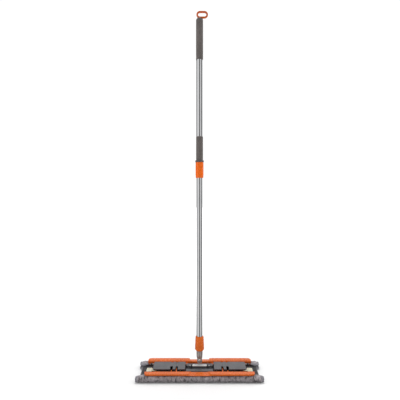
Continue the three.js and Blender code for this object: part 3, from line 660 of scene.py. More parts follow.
def knurl(count, pitch, depth, band, fade=0.8):
    """Crossed diamond texture in a band of heights, for lathe's relief."""
    def relief(angle, height, radius):
        inside = float(window(height, *band, fade))
        if inside == 0:
            return 0.0
        phase = 2 * math.pi * height / pitch
        crossed = math.cos(count * angle + phase) * math.cos(count * angle - phase)
        return -depth * inside * (0.5 - 0.5 * crossed)
    return relief


def pole_tubes():
    """The telescope's two tubes, thin-walled and rounded at their ends."""
    for node, wall, lip in (("lower_tube", 0.5, 0.25), ("upper_tube", 0.4, 0.2)):
        bottom, top, radius = span(node)
        inner = radius - wall
        profile = [(inner, bottom), (radius, bottom, lip), (radius, top, lip), (inner, top)]
        stand_for(lathe(name_for(node), soften(profile, 0.1, 2), 96), node)


def pole_socket():
    """Fluted collar with a rounded foot and a stepped neck."""
    node = "pole_socket"
    bottom, top, radius = span(node)
    bore = 10.9
    foot = [(bore, bottom, 0.3), (radius - 3.6, bottom, 1.2), (radius, bottom + 5, 2.2)]
    waist = [(radius, bottom + 14, 3), (radius - 0.7, bottom + 26, 4)]
    neck = [(radius - 1.3, top - 5, 0.5), (radius - 1.9, top - 4.2, 0.5), (radius - 1.9, top, 1.4)]
    profile = soften(foot + waist + neck + [(bore, top, 0.3)], 0.5)
    ribs = flutes(20, 0.45, bottom + 8, top - 14, bore)
    stand_for(lathe(name_for(node), finely_closed(profile, 2.0), 160, ribs), node, SOCKET_ORANGE)


def lock_nut():
    """Fluted nut with a lip round the inner tube."""
    node = "lock_nut"
    bottom, top, radius = span(node)
    bore, lip = 12.9, 10.9
    foot = [(lip, bottom, 0.3), (radius - 1.6, bottom, 1), (radius - 0.4, bottom + 3.5, 1.4)]
    wall = [(radius - 0.4, bottom + 8, 1), (radius, bottom + 11, 1),
            (radius, top - 3, 1), (radius - 0.5, top, 0.7)]
    inside = [(bore, top, 0.3), (bore, bottom + 4.5, 0.5), (lip, bottom + 3, 0.5)]
    profile = soften(foot + wall + inside, 0.5)
    ribs = flutes(18, 0.4, bottom + 14, top - 6, bore)
    stand_for(lathe(name_for(node), finely_closed(profile, 2.0), 144, ribs), node, LOCK_ORANGE)


def lock_body():
    """The lock's sleeve, inside the nut, and its flange above it."""
    node = "lock_body"
    bottom, top, radius = span(node)
    bore, sleeve = GRIP_BORE, 12.3
    collar = box_mm("lock_nut")[1].z + 0.3
    thread = [(bore, bottom, 0.2), (sleeve, bottom, 0.4), (sleeve, collar, 0.2)]
    flange = [(radius - 0.5, collar, 0.5), (radius, collar + 1.5, 0.8),
              (radius, top - 2, 1.2), (radius - 1, top, 0.8)]
    stand_for(lathe(name_for(node), soften(thread + flange + [(bore, top, 0.2)], 0.3), 96), node)


def grooved(bottom, top, radius, inner, grooves, depth, width):
    """Outline of a sleeve with ring grooves at the given heights."""
    outline = [(inner, bottom, 0.2), (radius - 0.5, bottom, 0.5), (radius, bottom + 2, 0.8)]
    for height in grooves:
        outline += [
            (radius, height - width / 2, 0.3),
            (radius - depth, height - width / 4, 0.3),
            (radius - depth, height + width / 4, 0.3),
            (radius, height + width / 2, 0.3),
        ]
    return outline + [(radius, top - 1.6, 0.8), (radius - 0.5, top, 0.4), (inner, top, 0.2)]


def grip(node, grooves, depth, width, band, step):
    """Sleeve with ring grooves and a knurled band between them."""
    bottom, top, radius = span(node)
    outline = soften(grooved(bottom, top, radius, GRIP_BORE, grooves, depth, width), 0.3)
    relief = knurl(20, 4.2, 0.55, band)
    stand_for(lathe(name_for(node), finely_closed(outline, step), 120, relief), node)


def grips():
    top = span("middle_grip")[1]
    grip("middle_grip", [top - 20.5, top - 3.2], 0.45, 1.6, (top - 18.5, top - 5.2), 0.8)
    bottom = span("upper_grip")[0]
    grip("upper_grip", [bottom + 5, bottom + 38], 0.6, 2.2, (bottom + 8.5, bottom + 35), 0.9)


def grip_cap():
    """Rounded cap with a ring groove, and a plug that goes down into the tube."""
    node = "grip_cap"
    bottom, top, radius = span(node)
    skirt = box_mm("upper_grip")[1].z + 0.3
    plug, stem, bore = 10.3, 3.7, 6.2
    inside = [(bore, bottom), (plug, bottom), (plug, skirt, 0), (radius, skirt, 0.5)]
    groove = [(radius, skirt + 3.2, 0.3), (radius - 0.6, skirt + 4, 0.3),
              (radius - 0.6, skirt + 5.4, 0.3), (radius, skirt + 6.2, 0.3)]
    crown = [(radius, top - 4.5, 3), (radius - 3, top, 2.5), (stem, top, 0.4)]
    profile = soften(inside + groove + crown + [(stem, skirt + 4), (bore, skirt + 4)], 0.3, 4)
    stand_for(lathe(name_for(node), profile, 96), node)


def hang_loop():
    """Oval hanging ring with a rounded band, on a stem with a small collar."""
    node = "hang_loop"
    low, high = box_mm(node)
    band = 5.6
    ring_bottom = box_mm("grip_cap")[1].z + 0.7
    half_height = (high.z - ring_bottom) / 2
    half_width = (high.x - low.x) / 2
    centre_x = (low.x + high.x) / 2
    middle = ring_bottom + half_height
    radius = half_height - band / 2
    reach = half_width - half_height
    line = arc(centre_x + reach, middle, radius, -90, 90, 20)
    line += arc(centre_x - reach, middle, radius, 90, 270, 20)
    path = [((x, 0, z), (0, 1, 0)) for x, z in finely_closed(line, 2.0)]
    section = soften(rounded_rectangle(band / 2, high.y, 2.1, 5), 0)
    ring = sweep(name_for(node), path, section, closed=True)
    stem = soften(
        [(0, low.z), (3.2, low.z, 0.3), (3.2, ring_bottom - 0.2, 0.4), (4.4, ring_bottom + 0.4, 0.8),
         (4.4, ring_bottom + 2.4, 1.2), (2.6, ring_bottom + 3.6, 0.6), (0, ring_bottom + 3.6)],
        0.3,
        closed=False,
    )
    stand_for(combine(ring, [lathe("stem", stem, 40)], crease=50), node)


# ---------- Two-axis joint ----------

PITCH_HEIGHT = (box_mm("barrel_axle")[0].z + box_mm("barrel_axle")[1].z) / 2
ROLL_HEIGHT = (box_mm("fork_rivet")[0].z + box_mm("fork_rivet")[1].z) / 2
AT_AXLE = along_x(0, PITCH_HEIGHT)
AT_RIVET = Matrix.Translation((0, 0, ROLL_HEIGHT)) @ ALONG_Y
RIVET_HOLE = 2.9
AXLE_HOLE = 2.4


def swivel_fork():
    """Tube whose lower end is pressed into two legs, with the channel for the lug between them."""
    node = "swivel_fork"
    low, high = box_mm(node)
    radius = high.x
    leg_half_width, leg_face, channel, bore_radius = 9.5, 8.8, 6.6, 9.7
    clear = 14  # wider than the tube
    crown = ROLL_HEIGHT + 10.5
    sides = 64
    rings = []
    heights = [low.z - 1] + [ROLL_HEIGHT + rise for rise in (-4, 0, 4)]
    heights += [crown + rise for rise in (-4, -1, 2, 4, 6, 8, 11)] + [high.z - 0.5, high.z]
    for height in heights:
        round_part = float(smoothstep(ROLL_HEIGHT + 5, crown + 9, height))
        half_x = lerp(leg_half_width, radius, round_part)
        half_y = lerp(leg_face, radius, round_part)
        power = lerp(3.4, 2.0, round_part)
        if height == high.z:
            half_x, half_y = radius - 0.25, radius - 0.25
        ring = []
        for side in range(sides):
            angle = 2 * math.pi * side / sides
            c, s = math.cos(angle), math.sin(angle)
            size = (abs(c) ** power + abs(s) ** power) ** (-1 / power)
            ring.append((half_x * size * c, half_y * size * s, height))
        rings.append(ring)
    body = skin(name_for(node), rings)
    gap = [(-channel, low.z - 5), (channel, low.z - 5), (channel, crown - 5)]
    gap += arc(channel - 5, crown - 5, 5, 0, 90, 6)[1:] + arc(-channel + 5, crown - 5, 5, 90, 180, 6)
    slot = slab("slot", gap, -30, 30, 0.01, place=FROM_YZ, steps=1)
    bore = drill(bore_radius, crown + 5.5, high.z + 5, sides=64)
    combine(body, [slot, bore], "DIFFERENCE", 30)
    leg = arc(0, ROLL_HEIGHT, leg_half_width + 0.4, 180, 360, 24)
    leg += [(clear, crown), (clear, high.z + 9), (-clear, high.z + 9), (-clear, crown)]
    trim = slab("trim", leg, -30, 30, 0.01, place=FROM_XZ, steps=1)
    combine(body, [trim], "INTERSECT", 30)
    combine(body, [drill(RIVET_HOLE, -30, 30, AT_RIVET, 32)], "DIFFERENCE", 30)
    stand_for(body, node, SATIN_STEEL)


def fork_rivet():
    """Domed rivet through the fork and the lug."""
    node = "fork_rivet"
    low, high = box_mm(node)
    head, shank, dome = high.x, 2.4, 1.9
    profile = soften(
        [(0, low.y), (head * 0.62, low.y, 2.4), (head, low.y + dome - 0.3, 0.3), (head, low.y + dome, 0.1),
         (shank, low.y + dome, 0.1), (shank, high.y - dome, 0.1), (head, high.y - dome, 0.1),
         (head, high.y - dome + 0.3, 0.3), (head * 0.62, high.y, 2.4), (0, high.y)],
        0.1, 5, closed=False,
    )
    stand_for(lathe(name_for(node), profile, 48, place=AT_RIVET), node, LOOKS["zinc"])


def joint_tee():
    """Cast tee: a barrel with thicker ends, and an upright lug that runs into it in a fillet."""
    node = "joint_tee"
    low, high = box_mm(node)
    half, radius = high.x, PITCH_HEIGHT - low.z
    end = [(radius, half, 0.9), (radius, half - 5, 0.2), (radius - 0.3, half - 5.5, 0.3)]
    profile = [(0, half)] + end + [(r, -x, edge) for r, x, edge in reversed(end)] + [(0, -half)]
    barrel = lathe(name_for(node), soften(profile, 0.4, 4, closed=False), 56, place=AT_AXLE)

    lug_half = high.z - ROLL_HEIGHT
    flank = [(lug_half + 6, PITCH_HEIGHT), (lug_half + 3.5, PITCH_HEIGHT + 4.2, 2),
             (lug_half, PITCH_HEIGHT + 8, 6), (lug_half, ROLL_HEIGHT, 0.1)]
    crown = [(x, z, 0) for x, z in arc(0, ROLL_HEIGHT, lug_half, 10, 170, 16)]
    outline = soften(flank + crown + flipped(flank), 0.3)
    lug = slab("lug", outline, -high.y, high.y, 0.7, place=FROM_XZ)

    # The lug is thinner at its foot. The tool stays clear of its sides above that.
    foot, clear = 3.2, high.y + 0.4
    side = [(foot, low.z), (foot, PITCH_HEIGHT + radius - 1), (clear, PITCH_HEIGHT + 10), (clear, high.z + 5)]
    taper = slab("taper", side + flipped(side), -30, 30, 0.01, place=FROM_YZ, steps=1)
    combine(lug, [taper], "INTERSECT")
    combine(barrel, [lug])

    # The small turn keeps the hole's corners off the edges of the barrel's end faces.
    axle_hole = drill(AXLE_HOLE, -60, 60, AT_AXLE @ Matrix.Rotation(0.05, 4, "Z"), 32)
    rivet_hole = drill(RIVET_HOLE, -30, 30, AT_RIVET, 32)
    combine(barrel, [axle_hole, rivet_hole], "DIFFERENCE")
    stand_for(barrel, node)


def rods():
    """The axle, the hinge rods and the pedals' pins: steel along X with chamfered ends."""
    chamfer = 0.4
    nodes = ["barrel_axle", "front_hinge_rod", "back_hinge_rod"]
    nodes += [f"{side}_pedal_{end}_pin" for side in ("left", "right") for end in ("front", "back")]
    for node in nodes:
        low, high = box_mm(node)
        radius = (high.z - low.z) / 2
        profile = [(0, low.x), (radius - chamfer, low.x), (radius, low.x + chamfer),
                   (radius, high.x - chamfer), (radius - chamfer, high.x), (0, high.x)]
        place = along_x((low.y + high.y) / 2, (low.z + high.z) / 2)
        stand_for(lathe(name_for(node), profile, 28, place=place), node)


# ---------- Head ----------

HINGE_Y, HINGE_Z = 37.0, 18.5  # the jaws' hinge lines
HINGE_HOLE = 1.9
PIN_Y, PIN_Z, PIN_HOLE = 6.5, 22.7, 1.6  # the pins that keep the lever arms
LEVER_ARMS = (78, 95)
SPRINGS = (61.5, 140)


def centre_hub():
    """Moulded hub with a trough along its middle and rounded ends."""
    node = "centre_hub"
    low, high = box_mm(node)
    trough, floor = 10.8, 16.0
    half = [(high.y, low.z, 0.4), (high.y, high.z, 3), (trough + 4, high.z, 0.5),
            (trough + 3, high.z - 0.9, 0.5), (trough, high.z - 1.2, 0.6), (trough, floor, 0.8)]
    section = soften(half + flipped(half), 0.5, 5)
    hub = slab(name_for(node), section, low.x, high.x, 0.9, place=FROM_YZ)
    grooves = [
        block("groove", x - 0.6, x + 0.6, side * 21 - 7, side * 21 + 7, high.z - 0.8, high.z + 4, 0.1, 0.5)
        for side in (-1, 1)
        for x in (-34, -29, 29, 34)
    ]
    stand_for(combine(hub, grooves, "DIFFERENCE"), node)


def hinge_cradle():
    """Insert in the trough, with two ears for the axle and two screw bosses."""
    node = "hinge_cradle"
    low, high = box_mm(node)
    shelf = 18.6
    ear_inner, ear_outer, ear_half = 25.5, 31.0, 4.8
    base = block(name_for(node), low.x, high.x, low.y, high.y, low.z, shelf, 0.4, 1.0)
    outline = [(-ear_half - 3, shelf - 1), (ear_half + 3, shelf - 1), (ear_half, PITCH_HEIGHT)]
    outline += arc(0, PITCH_HEIGHT, ear_half, 0, 180, 14)[1:]
    width = ear_outer - ear_inner
    ears = [slab("ear", outline, x, x + width, 0.5, place=FROM_YZ) for x in (ear_inner, -ear_outer)]
    bosses = [boss(x, 3.6, shelf - 1, shelf + 2.4, top_edge=0.4, sides=28) for x in (-38, 38)]
    combine(base, ears + bosses)
    combine(base, [drill(AXLE_HOLE, -60, 60, AT_AXLE)], "DIFFERENCE")
    stand_for(base, node)


def stop_block(node, turn):
    """Cream block on the plate's end, with the post that stops the pedal."""
    low, high = box_mm("right_stop_block")
    pad_start, pad_top, post_end, post_half = 163.0, 15.6, 152.6, 9.0
    outline = [(pad_start, low.y), (high.x, low.y), (high.x, high.y), (pad_start, high.y)]
    pad = slab(name_for(node), soften(outline, 3, 5), low.z, pad_top, 0.8, 0.2)
    inside = post_half - 0.5
    bridge = block("bridge", low.x + 0.4, pad_start + 3, -inside, inside, low.z + 0.1, pad_top - 0.5)
    post = block("post", low.x, post_end, -post_half, post_half, low.z, high.z, 0.5)
    combine(pad, [bridge, post])
    dimples = [
        lathe("dimple", [(0, pad_top - 0.5), (3.2, pad_top - 0.5), (3.6, pad_top + 1), (0, pad_top + 1)], 32,
              place=Matrix.Translation((172.5, y, 0)))
        for y in (-7.5, 7.5)
    ]
    combine(pad, dimples, "DIFFERENCE")
    pad.data.transform(turn)
    stand_for(pad, node)


def base_plate():
    """Moulded plate with stiffening ribs, hinge ears and spring seats."""
    node = "base_plate"
    low, high = box_mm(node)
    top = 13.3
    plate = slab(name_for(node), rounded_rectangle(high.x, high.y, 12, 10), low.z, top, 0.8, 0.8)
    parts = []
    ear_half = 2.6
    ear_middle = high.z - ear_half
    for side in (-1, 1):
        for x in (-170, -112, -20, 20, 112, 170):
            ear = [(-4.1, top - 1), (4.1, top - 1), (ear_half, ear_middle)]
            ear += arc(0, ear_middle, ear_half, 0, 180, 10)[1:]
            ear = [(side * HINGE_Y + y, z) for y, z in ear]
            parts.append(slab("ear", ear, x - 3, x + 3, 0.4, place=FROM_YZ))
        for x0, x1 in ((-148, -47), (47, 148)):
            parts.append(block("rib", x0, x1, side * 25 - 1, side * 25 + 1, top - 1, top + 2.4, 0.4, 0.8))
        for x in SPRINGS:
            parts.append(boss(side * x, 4.6, top - 1, top + 2.2, top_edge=0.6))
        for step in range(5):
            x = side * (72 + 16 * step)
            parts.append(block("cross_rib", x - 0.7, x + 0.7, -33, 33, top - 1, top + 0.8, 0.25, 0.4))
        ends = sorted((side * 184.5, side * 194))
        for y in (-36, -18, 0, 18, 36):
            parts.append(block("end_rib", *ends, y - 0.7, y + 0.7, top - 1, top + 0.7, 0.25, 0.4))
    combine(plate, parts)
    bores = [drill(HINGE_HOLE, -200, 200, along_x(side * HINGE_Y, HINGE_Z), 20) for side in (-1, 1)]
    stand_for(combine(plate, bores, "DIFFERENCE"), node)


# ---------- Cloth clamp ----------

JAW_WALL = 2.4
JAW_CORNER = 12.0
JAW_END_WALL = 2.5
JAW_INNER = 42.0
BACK_ARM_TOP = [(30, 22.4, 1), (18, 24.7, 1), (12, 25.9, 1)]  # low, under the panel
FRONT_ARM_TOP = [(28, 25.2, 2), (12, 25, 1)]  # high, in the open notches


def jaw_ring(x, half_length, inner, outer):
    """One section of a jaw. Its top slopes down to the lip in the waist, and lies flat along the wings."""
    inside, middle, lip = (float(np.clip((abs(x) - start) / 5, 0, 1)) for start in (25, 31, 41))
    to_end = half_length - abs(x)
    pull = 0.0
    if to_end < JAW_CORNER:
        pull = JAW_CORNER - math.sqrt(max(0.0, JAW_CORNER ** 2 - (JAW_CORNER - to_end) ** 2))
    shut = to_end < JAW_END_WALL
    points = [
        (inner, 14.4, 0.3),
        (inner, 25.4, 0.8),
        (inner + lerp(1.6, 2.8, inside), lerp(26.3, 28.2, inside), 0.9),
        (lerp(47, outer - 1.8, middle), lerp(26.2, 28.6, middle), 1.6),
        (lerp(outer - 0.6, outer, lip), lerp(23.8, 27.6, lip), 0.8),
        (lerp(outer - 1, outer - 1.6, lip), lerp(22.7, 24.6, lip), 0.5),
        (63.8, 21.9, 0.3),
        (61.4, 21.9, 0.3),
        (60.9, 22.1, 0.1) if shut else (lerp(61, 63.2, lip), lerp(22.3, 25.8, lip), 0.3),
        (60, 22.2, 0.1) if shut else (lerp(46.6, 62, middle), lerp(23.9, 26.3, middle), 0.4),
        (inner + JAW_WALL, 22.2, 0.1) if shut else (inner + JAW_WALL, lerp(23.8, 25.8, inside), 0.4),
        (inner + JAW_WALL, 14.4, 0.3),
    ]
    width = outer - inner
    squeezed = [(inner + (y - inner) * (1 - pull / width), z, edge) for y, z, edge in points]
    return soften(squeezed, 0.4, 3)


def jaw_stations(half_length):
    """Places along a jaw: close together in the waist, at the wings' corners and at the ends."""
    half = [0, 12, 24, 25] + list(range(26, 48)) + [60, 80, 100, 120, 140, 160, half_length - JAW_CORNER]
    corner = [math.sin(math.radians(turn)) for turn in (20, 40, 55, 68, 78, 84)]
    half += [half_length - JAW_CORNER * (1 - share) for share in corner]
    return [-x for x in reversed(half[1:])] + half


def jaw(node, turn, arm_top):
    """Hollow jaw with hinge lugs, lever arms towards the middle of the head and stiffening webs."""
    high = box_mm("back_jaw")[1]
    half_length, outer, end_edge = high.x, high.y, 0.35
    rings = []
    for x in jaw_stations(half_length):
        rings.append([(x, y, z) for y, z in jaw_ring(x, half_length, JAW_INNER, outer)])
    first_x = rings[0][0][0] - end_edge
    first = [(first_x, y, z) for y, z in inset([point[1:] for point in rings[0]], end_edge)]
    last = [(-x, y, z) for x, y, z in first]
    body = skin(name_for(node), [first] + rings + [last], crease=26)

    parts = []
    root = JAW_INNER + 1
    lug = arc(HINGE_Y, HINGE_Z, 4.2, 60, 300, 14) + [(root, 16), (root, 22)]
    for x in (-136, -88, -45, 45, 88, 136):
        parts.append(slab("lug", lug, x - 2.5, x + 2.5, 0.4, place=FROM_YZ))
    underside = [(3, 24.7, 0.3), (11.5, 23.8, 1), (29, 20.9, 1), (root, 20.9, 0)]
    top = [(root, arm_top[0][1], 0)] + arm_top + [(8.5, 26.6, 0.6), (3, 26.6, 0.8)]
    arm = soften(underside + top, 0.5)
    for x in [-x for x in reversed(LEVER_ARMS)] + list(LEVER_ARMS):
        parts.append(slab("arm", arm, x - 1.5, x + 1.5, 0.35, place=FROM_YZ))
    for x in (-160, -60, 60, 160):
        parts.append(block("web", x - 1, x + 1, root, 62, 22.3, 26.4, 0.2, 0.3))
    combine(body, parts, crease=26)
    combine(body, [drill(HINGE_HOLE, -200, 200, along_x(HINGE_Y, HINGE_Z), 24)], "DIFFERENCE", 26)
    body.data.transform(turn)
    stand_for(body, node)


def pedal(node, turn):
    """Foot pedal: a panel with rounded edges and slots for the lever arms, on a recessed skirt."""
    low, high = box_mm("right_pedal")
    underside, skirt_bottom = 27.3, 24.8
    notch_half, front_notch, back_notch = 3.2, 9.6, 25.0
    half = high.y

    def notch(x, edge, end):
        return [(x - notch_half, edge, 0.9), (x - notch_half, end, 1.4),
                (x + notch_half, end, 1.4), (x + notch_half, edge, 0.9)]

    outline = [(low.x, -half, 2.5)]
    for x in LEVER_ARMS:
        outline += notch(x, -half, -front_notch)
    outline += [(high.x, -half, 2.5), (high.x, half, 2.5)]
    for x in reversed(LEVER_ARMS):
        outline += reversed(notch(x, half, back_notch))
    outline += [(low.x, half, 2.5)]
    panel = slab(name_for(node), soften(outline, 1, 4), underside, high.z, 1.15, 0.3, steps=4)

    def under_panel(name, margin, bottom, top, edge, round_to):
        x0, x1, reach = low.x + margin, high.x - margin, half - margin
        return block(name, x0, x1, -reach, reach, bottom, top, edge, round_to)

    joined = underside + 0.6  # where what hangs under the panel ends, inside it
    margin, wall = 3.2, 1.6
    skirt = under_panel("skirt", margin, skirt_bottom, joined, 0.3, 1.5)
    combine(skirt, [under_panel("hollow", margin + wall, 10, underside, 0.1, 1)], "DIFFERENCE")
    gaps = []
    gap_half = notch_half + 0.3
    for x in LEVER_ARMS:
        for side in (-1, 1):
            ends = sorted((side * (front_notch - 0.3), side * 45))
            gaps.append(block("gap", x - gap_half, x + gap_half, *ends, 5, underside + 1, 0.05, 0.5))
    combine(skirt, gaps, "DIFFERENCE")

    parts = [skirt] + [boss(x, 4.6, 25, joined, bottom_edge=0.5) for x in SPRINGS]
    for x in (71.5, 86.5, 101.5):
        for y in (-PIN_Y, PIN_Y):
            parts.append(block("pin_rib", x - 1, x + 1, y - 2.5, y + 2.5, low.z, joined, 0.2, 0.4))
    combine(panel, parts)
    bores = [drill(PIN_HOLE, 60, 110, along_x(side * PIN_Y, PIN_Z), 20) for side in (-1, 1)]
    combine(panel, bores, "DIFFERENCE")
    panel.data.transform(turn)
    if turn.is_negative:
        panel.data.flip_normals()
    stand_for(panel, node)


def spring(node):
    """Coil spring with closed end turns."""
    low, high = box_mm(node)
    x = (low.x + high.x) / 2
    wire, travel = 0.65, 6.0
    radius = (high.x - low.x) / 2 - wire
    turns, closed_turns, per_turn = 5.5, 0.8, 28
    bottom, top = low.z + wire, high.z - wire
    path = []
    for step in range(int(turns * per_turn) + 1):
        turn = step / per_turn
        eased = float(smoothstep(0, 1, (turn - closed_turns / 2) / (turns - closed_turns)))
        even = np.clip((turn - closed_turns) / (turns - 2 * closed_turns), 0, 1)
        height = lerp(bottom, top, lerp(eased, even, 0.7))
        angle = 2 * math.pi * turn
        path.append(((x + radius * math.cos(angle), radius * math.sin(angle), height), (0, 0, 1)))
    made = sweep(name_for(node), path, circle(wire, 10))
    stand_for(made, node)
    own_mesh(made)


# ---------- Cloth ----------

TUFT_REACH = 1.7  # how far the pile stands out of its backing
HEM_WIDTH = 7.2


def ripple(t, seed):
    """A gentle wave with no plain repeat, from -1 to 1."""
    draw = random.Random(seed)
    total = 0
    for octave in range(4):
        pace = (0.7 + 0.8 * octave) * draw.uniform(0.8, 1.2)
        total = total + np.sin(t * pace + draw.uniform(0, 6.3)) / (1 + octave)
    return total / 2.1


def stations(length, step, edge_steps=(0.0, 0.25, 0.8, 1.7)):
    """Distances from 0 to length, close together near both ends so that the hem rounds off."""
    count = int(round((length - 2 * edge_steps[-1]) / step))
    inner = [lerp(edge_steps[-1], length - edge_steps[-1], i / count) for i in range(1, count)]
    return np.array(list(edge_steps) + inner + [length - e for e in reversed(edge_steps)])


def tuft_field(x, s, seed, density=0.075):
    """Height from 0 to 1 and a tint of its own for each tuft of chenille, where tufts are short
    round-backed noodles that lie every way over the grid of places (x, s)."""
    draw = np.random.default_rng(seed)
    height = np.zeros((len(x), len(s)))
    tint = np.full((len(x), len(s)), 0.5)
    count = int((x[-1] - x[0]) * (s[-1] - s[0]) * density)
    for _ in range(count):
        centre = np.array([draw.uniform(x[0], x[-1]), draw.uniform(s[0], s[-1])])
        angle = draw.uniform(0, np.pi)
        half, radius = draw.uniform(1.6, 3.8), draw.uniform(1.6, 2.3)
        lift, shade_of = draw.uniform(0.0, 0.35), draw.uniform(0, 1)
        reach = half + radius
        rows = slice(*np.searchsorted(x, (centre[0] - reach, centre[0] + reach)))
        columns = slice(*np.searchsorted(s, (centre[1] - reach, centre[1] + reach)))
        dx, ds = x[rows, None] - centre[0], s[None, columns] - centre[1]
        along = np.clip(dx * np.cos(angle) + ds * np.sin(angle), -half, half)
        away = np.hypot(dx - along * np.cos(angle), ds - along * np.sin(angle)) / radius
        dome = np.where(away < 1, lift + (1 - lift) * np.sqrt(np.maximum(0, 1 - away ** 2)), 0)
        dome = np.where(away < 1, dome * (0.75 + 0.25 * lift / 0.35), 0)
        taller = dome > height[rows, columns]
        height[rows, columns] = np.where(taller, dome, height[rows, columns])
        tint[rows, columns] = np.where(taller, shade_of, tint[rows, columns])
    return height, tint


SOLE_Z, FOLD_Z = 4.5, 17.6  # middle of the cloth's thickness under the plate and on top of it
BEND_Y = box_mm("base_plate")[1].y + 1.0
BEND_Z = (FOLD_Z + SOLE_Z) / 2
BEND_RADIUS = (FOLD_Z - SOLE_Z) / 2


def folded_line(s, marks, front_flap, back_flap):
    """The cloth's middle line across the head, from the front hem under the plate to the back hem.
    Gives the section that each place is in, its share of that section, y, z and the outward normal."""
    part = np.searchsorted(marks[1:-1], s, side="right")
    t = (s - marks[part]) / np.diff(marks)[part]
    sine, cosine = np.sin(np.pi * t), np.cos(np.pi * t)
    sections = [
        (front_flap * (1 - t) - BEND_Y, FOLD_Z, 0, 1),
        (-BEND_Y - BEND_RADIUS * sine, BEND_Z + BEND_RADIUS * cosine, -sine, cosine),
        (lerp(-BEND_Y, BEND_Y, t), SOLE_Z, 0, -1),
        (BEND_Y + BEND_RADIUS * sine, BEND_Z - BEND_RADIUS * cosine, sine, -cosine),
        (BEND_Y - back_flap * t, FOLD_Z, 0, 1),
    ]
    y, z, normal_y, normal_z = (
        np.choose(part, [np.broadcast_to(value, s.shape) for value in values]) for values in zip(*sections)
    )
    # The folds lean in towards the jaws, so that their backs slope.
    on_bend = smoothstep(BEND_Y - 8, BEND_Y + 1, np.abs(y))
    lean = 3.2 * (BEND_Z - z) / BEND_RADIUS
    return part, t, y + np.sign(y) * lean * on_bend, z, normal_y, normal_z


def cloth_outline(x, s, y, half_length, to_long_hem):
    """How far the cloth reaches along x: its ends draw in between the folds, and its corners are round."""
    plan_y = [-69, -65, -52, -34, 23, 37, 60, 69]
    plan_pull = [2.0, 0.3, 1.5, 10.6, 11.0, 1.4, 0.4, 4.0]
    corner = 13.0
    near_corner = np.clip(corner - to_long_hem, 0, corner)
    pull = np.interp(y, plan_y, plan_pull)
    pull = pull + (corner - np.sqrt(corner ** 2 - near_corner ** 2))
    pull = pull + 0.5 + 0.4 * ripple(s / 9, SEED + 3)
    return x - np.sign(x) * pull * smoothstep(165, half_length, np.abs(x))


def cloth_thickness(x, y, normal_z, part, to_hem, tufts):
    """How far the pile stands out from the middle line and the backing in, and what is bound hem."""
    on_fold = ((part == 0) | (part == 4)).astype(float)
    # The jaws press a line into the folds.
    lip = np.exp(-((np.abs(y) - 62.6) / 3.2) ** 2) * on_fold * (1 - smoothstep(178, 184, np.abs(x)))
    under_jaw = on_fold * (1 - smoothstep(180, 188, np.abs(x)))
    bound = 1 - smoothstep(7.0, 9.5, to_hem)
    backing = lerp(lerp(1.7, 1.9, on_fold), 2.1, bound)
    pile = TUFT_REACH * tufts * (1 - bound) * (1 - 0.75 * lip)
    pile = pile + 0.9 * (1 - on_fold) * (1 - np.abs(normal_z)) * tufts * (1 - bound)
    stitch_line = np.exp(-((to_hem - HEM_WIDTH) / 0.8) ** 2)
    outside = backing + pile - 0.7 * stitch_line
    inside = lerp(lerp(3.9, 3.4, on_fold), 2.4, bound) - 0.4 * stitch_line
    inside = np.where((part == 1) | (part == 3), 3.0, inside)
    rounding = np.sqrt(np.clip(1 - (1 - np.clip(to_hem / 1.7, 0, 1)) ** 2, 0.0025, 1))
    loose = 0.5 * ripple(x / 13, SEED + 4) * on_fold * (1 - under_jaw)
    return (outside + loose) * rounding, inside * rounding, bound


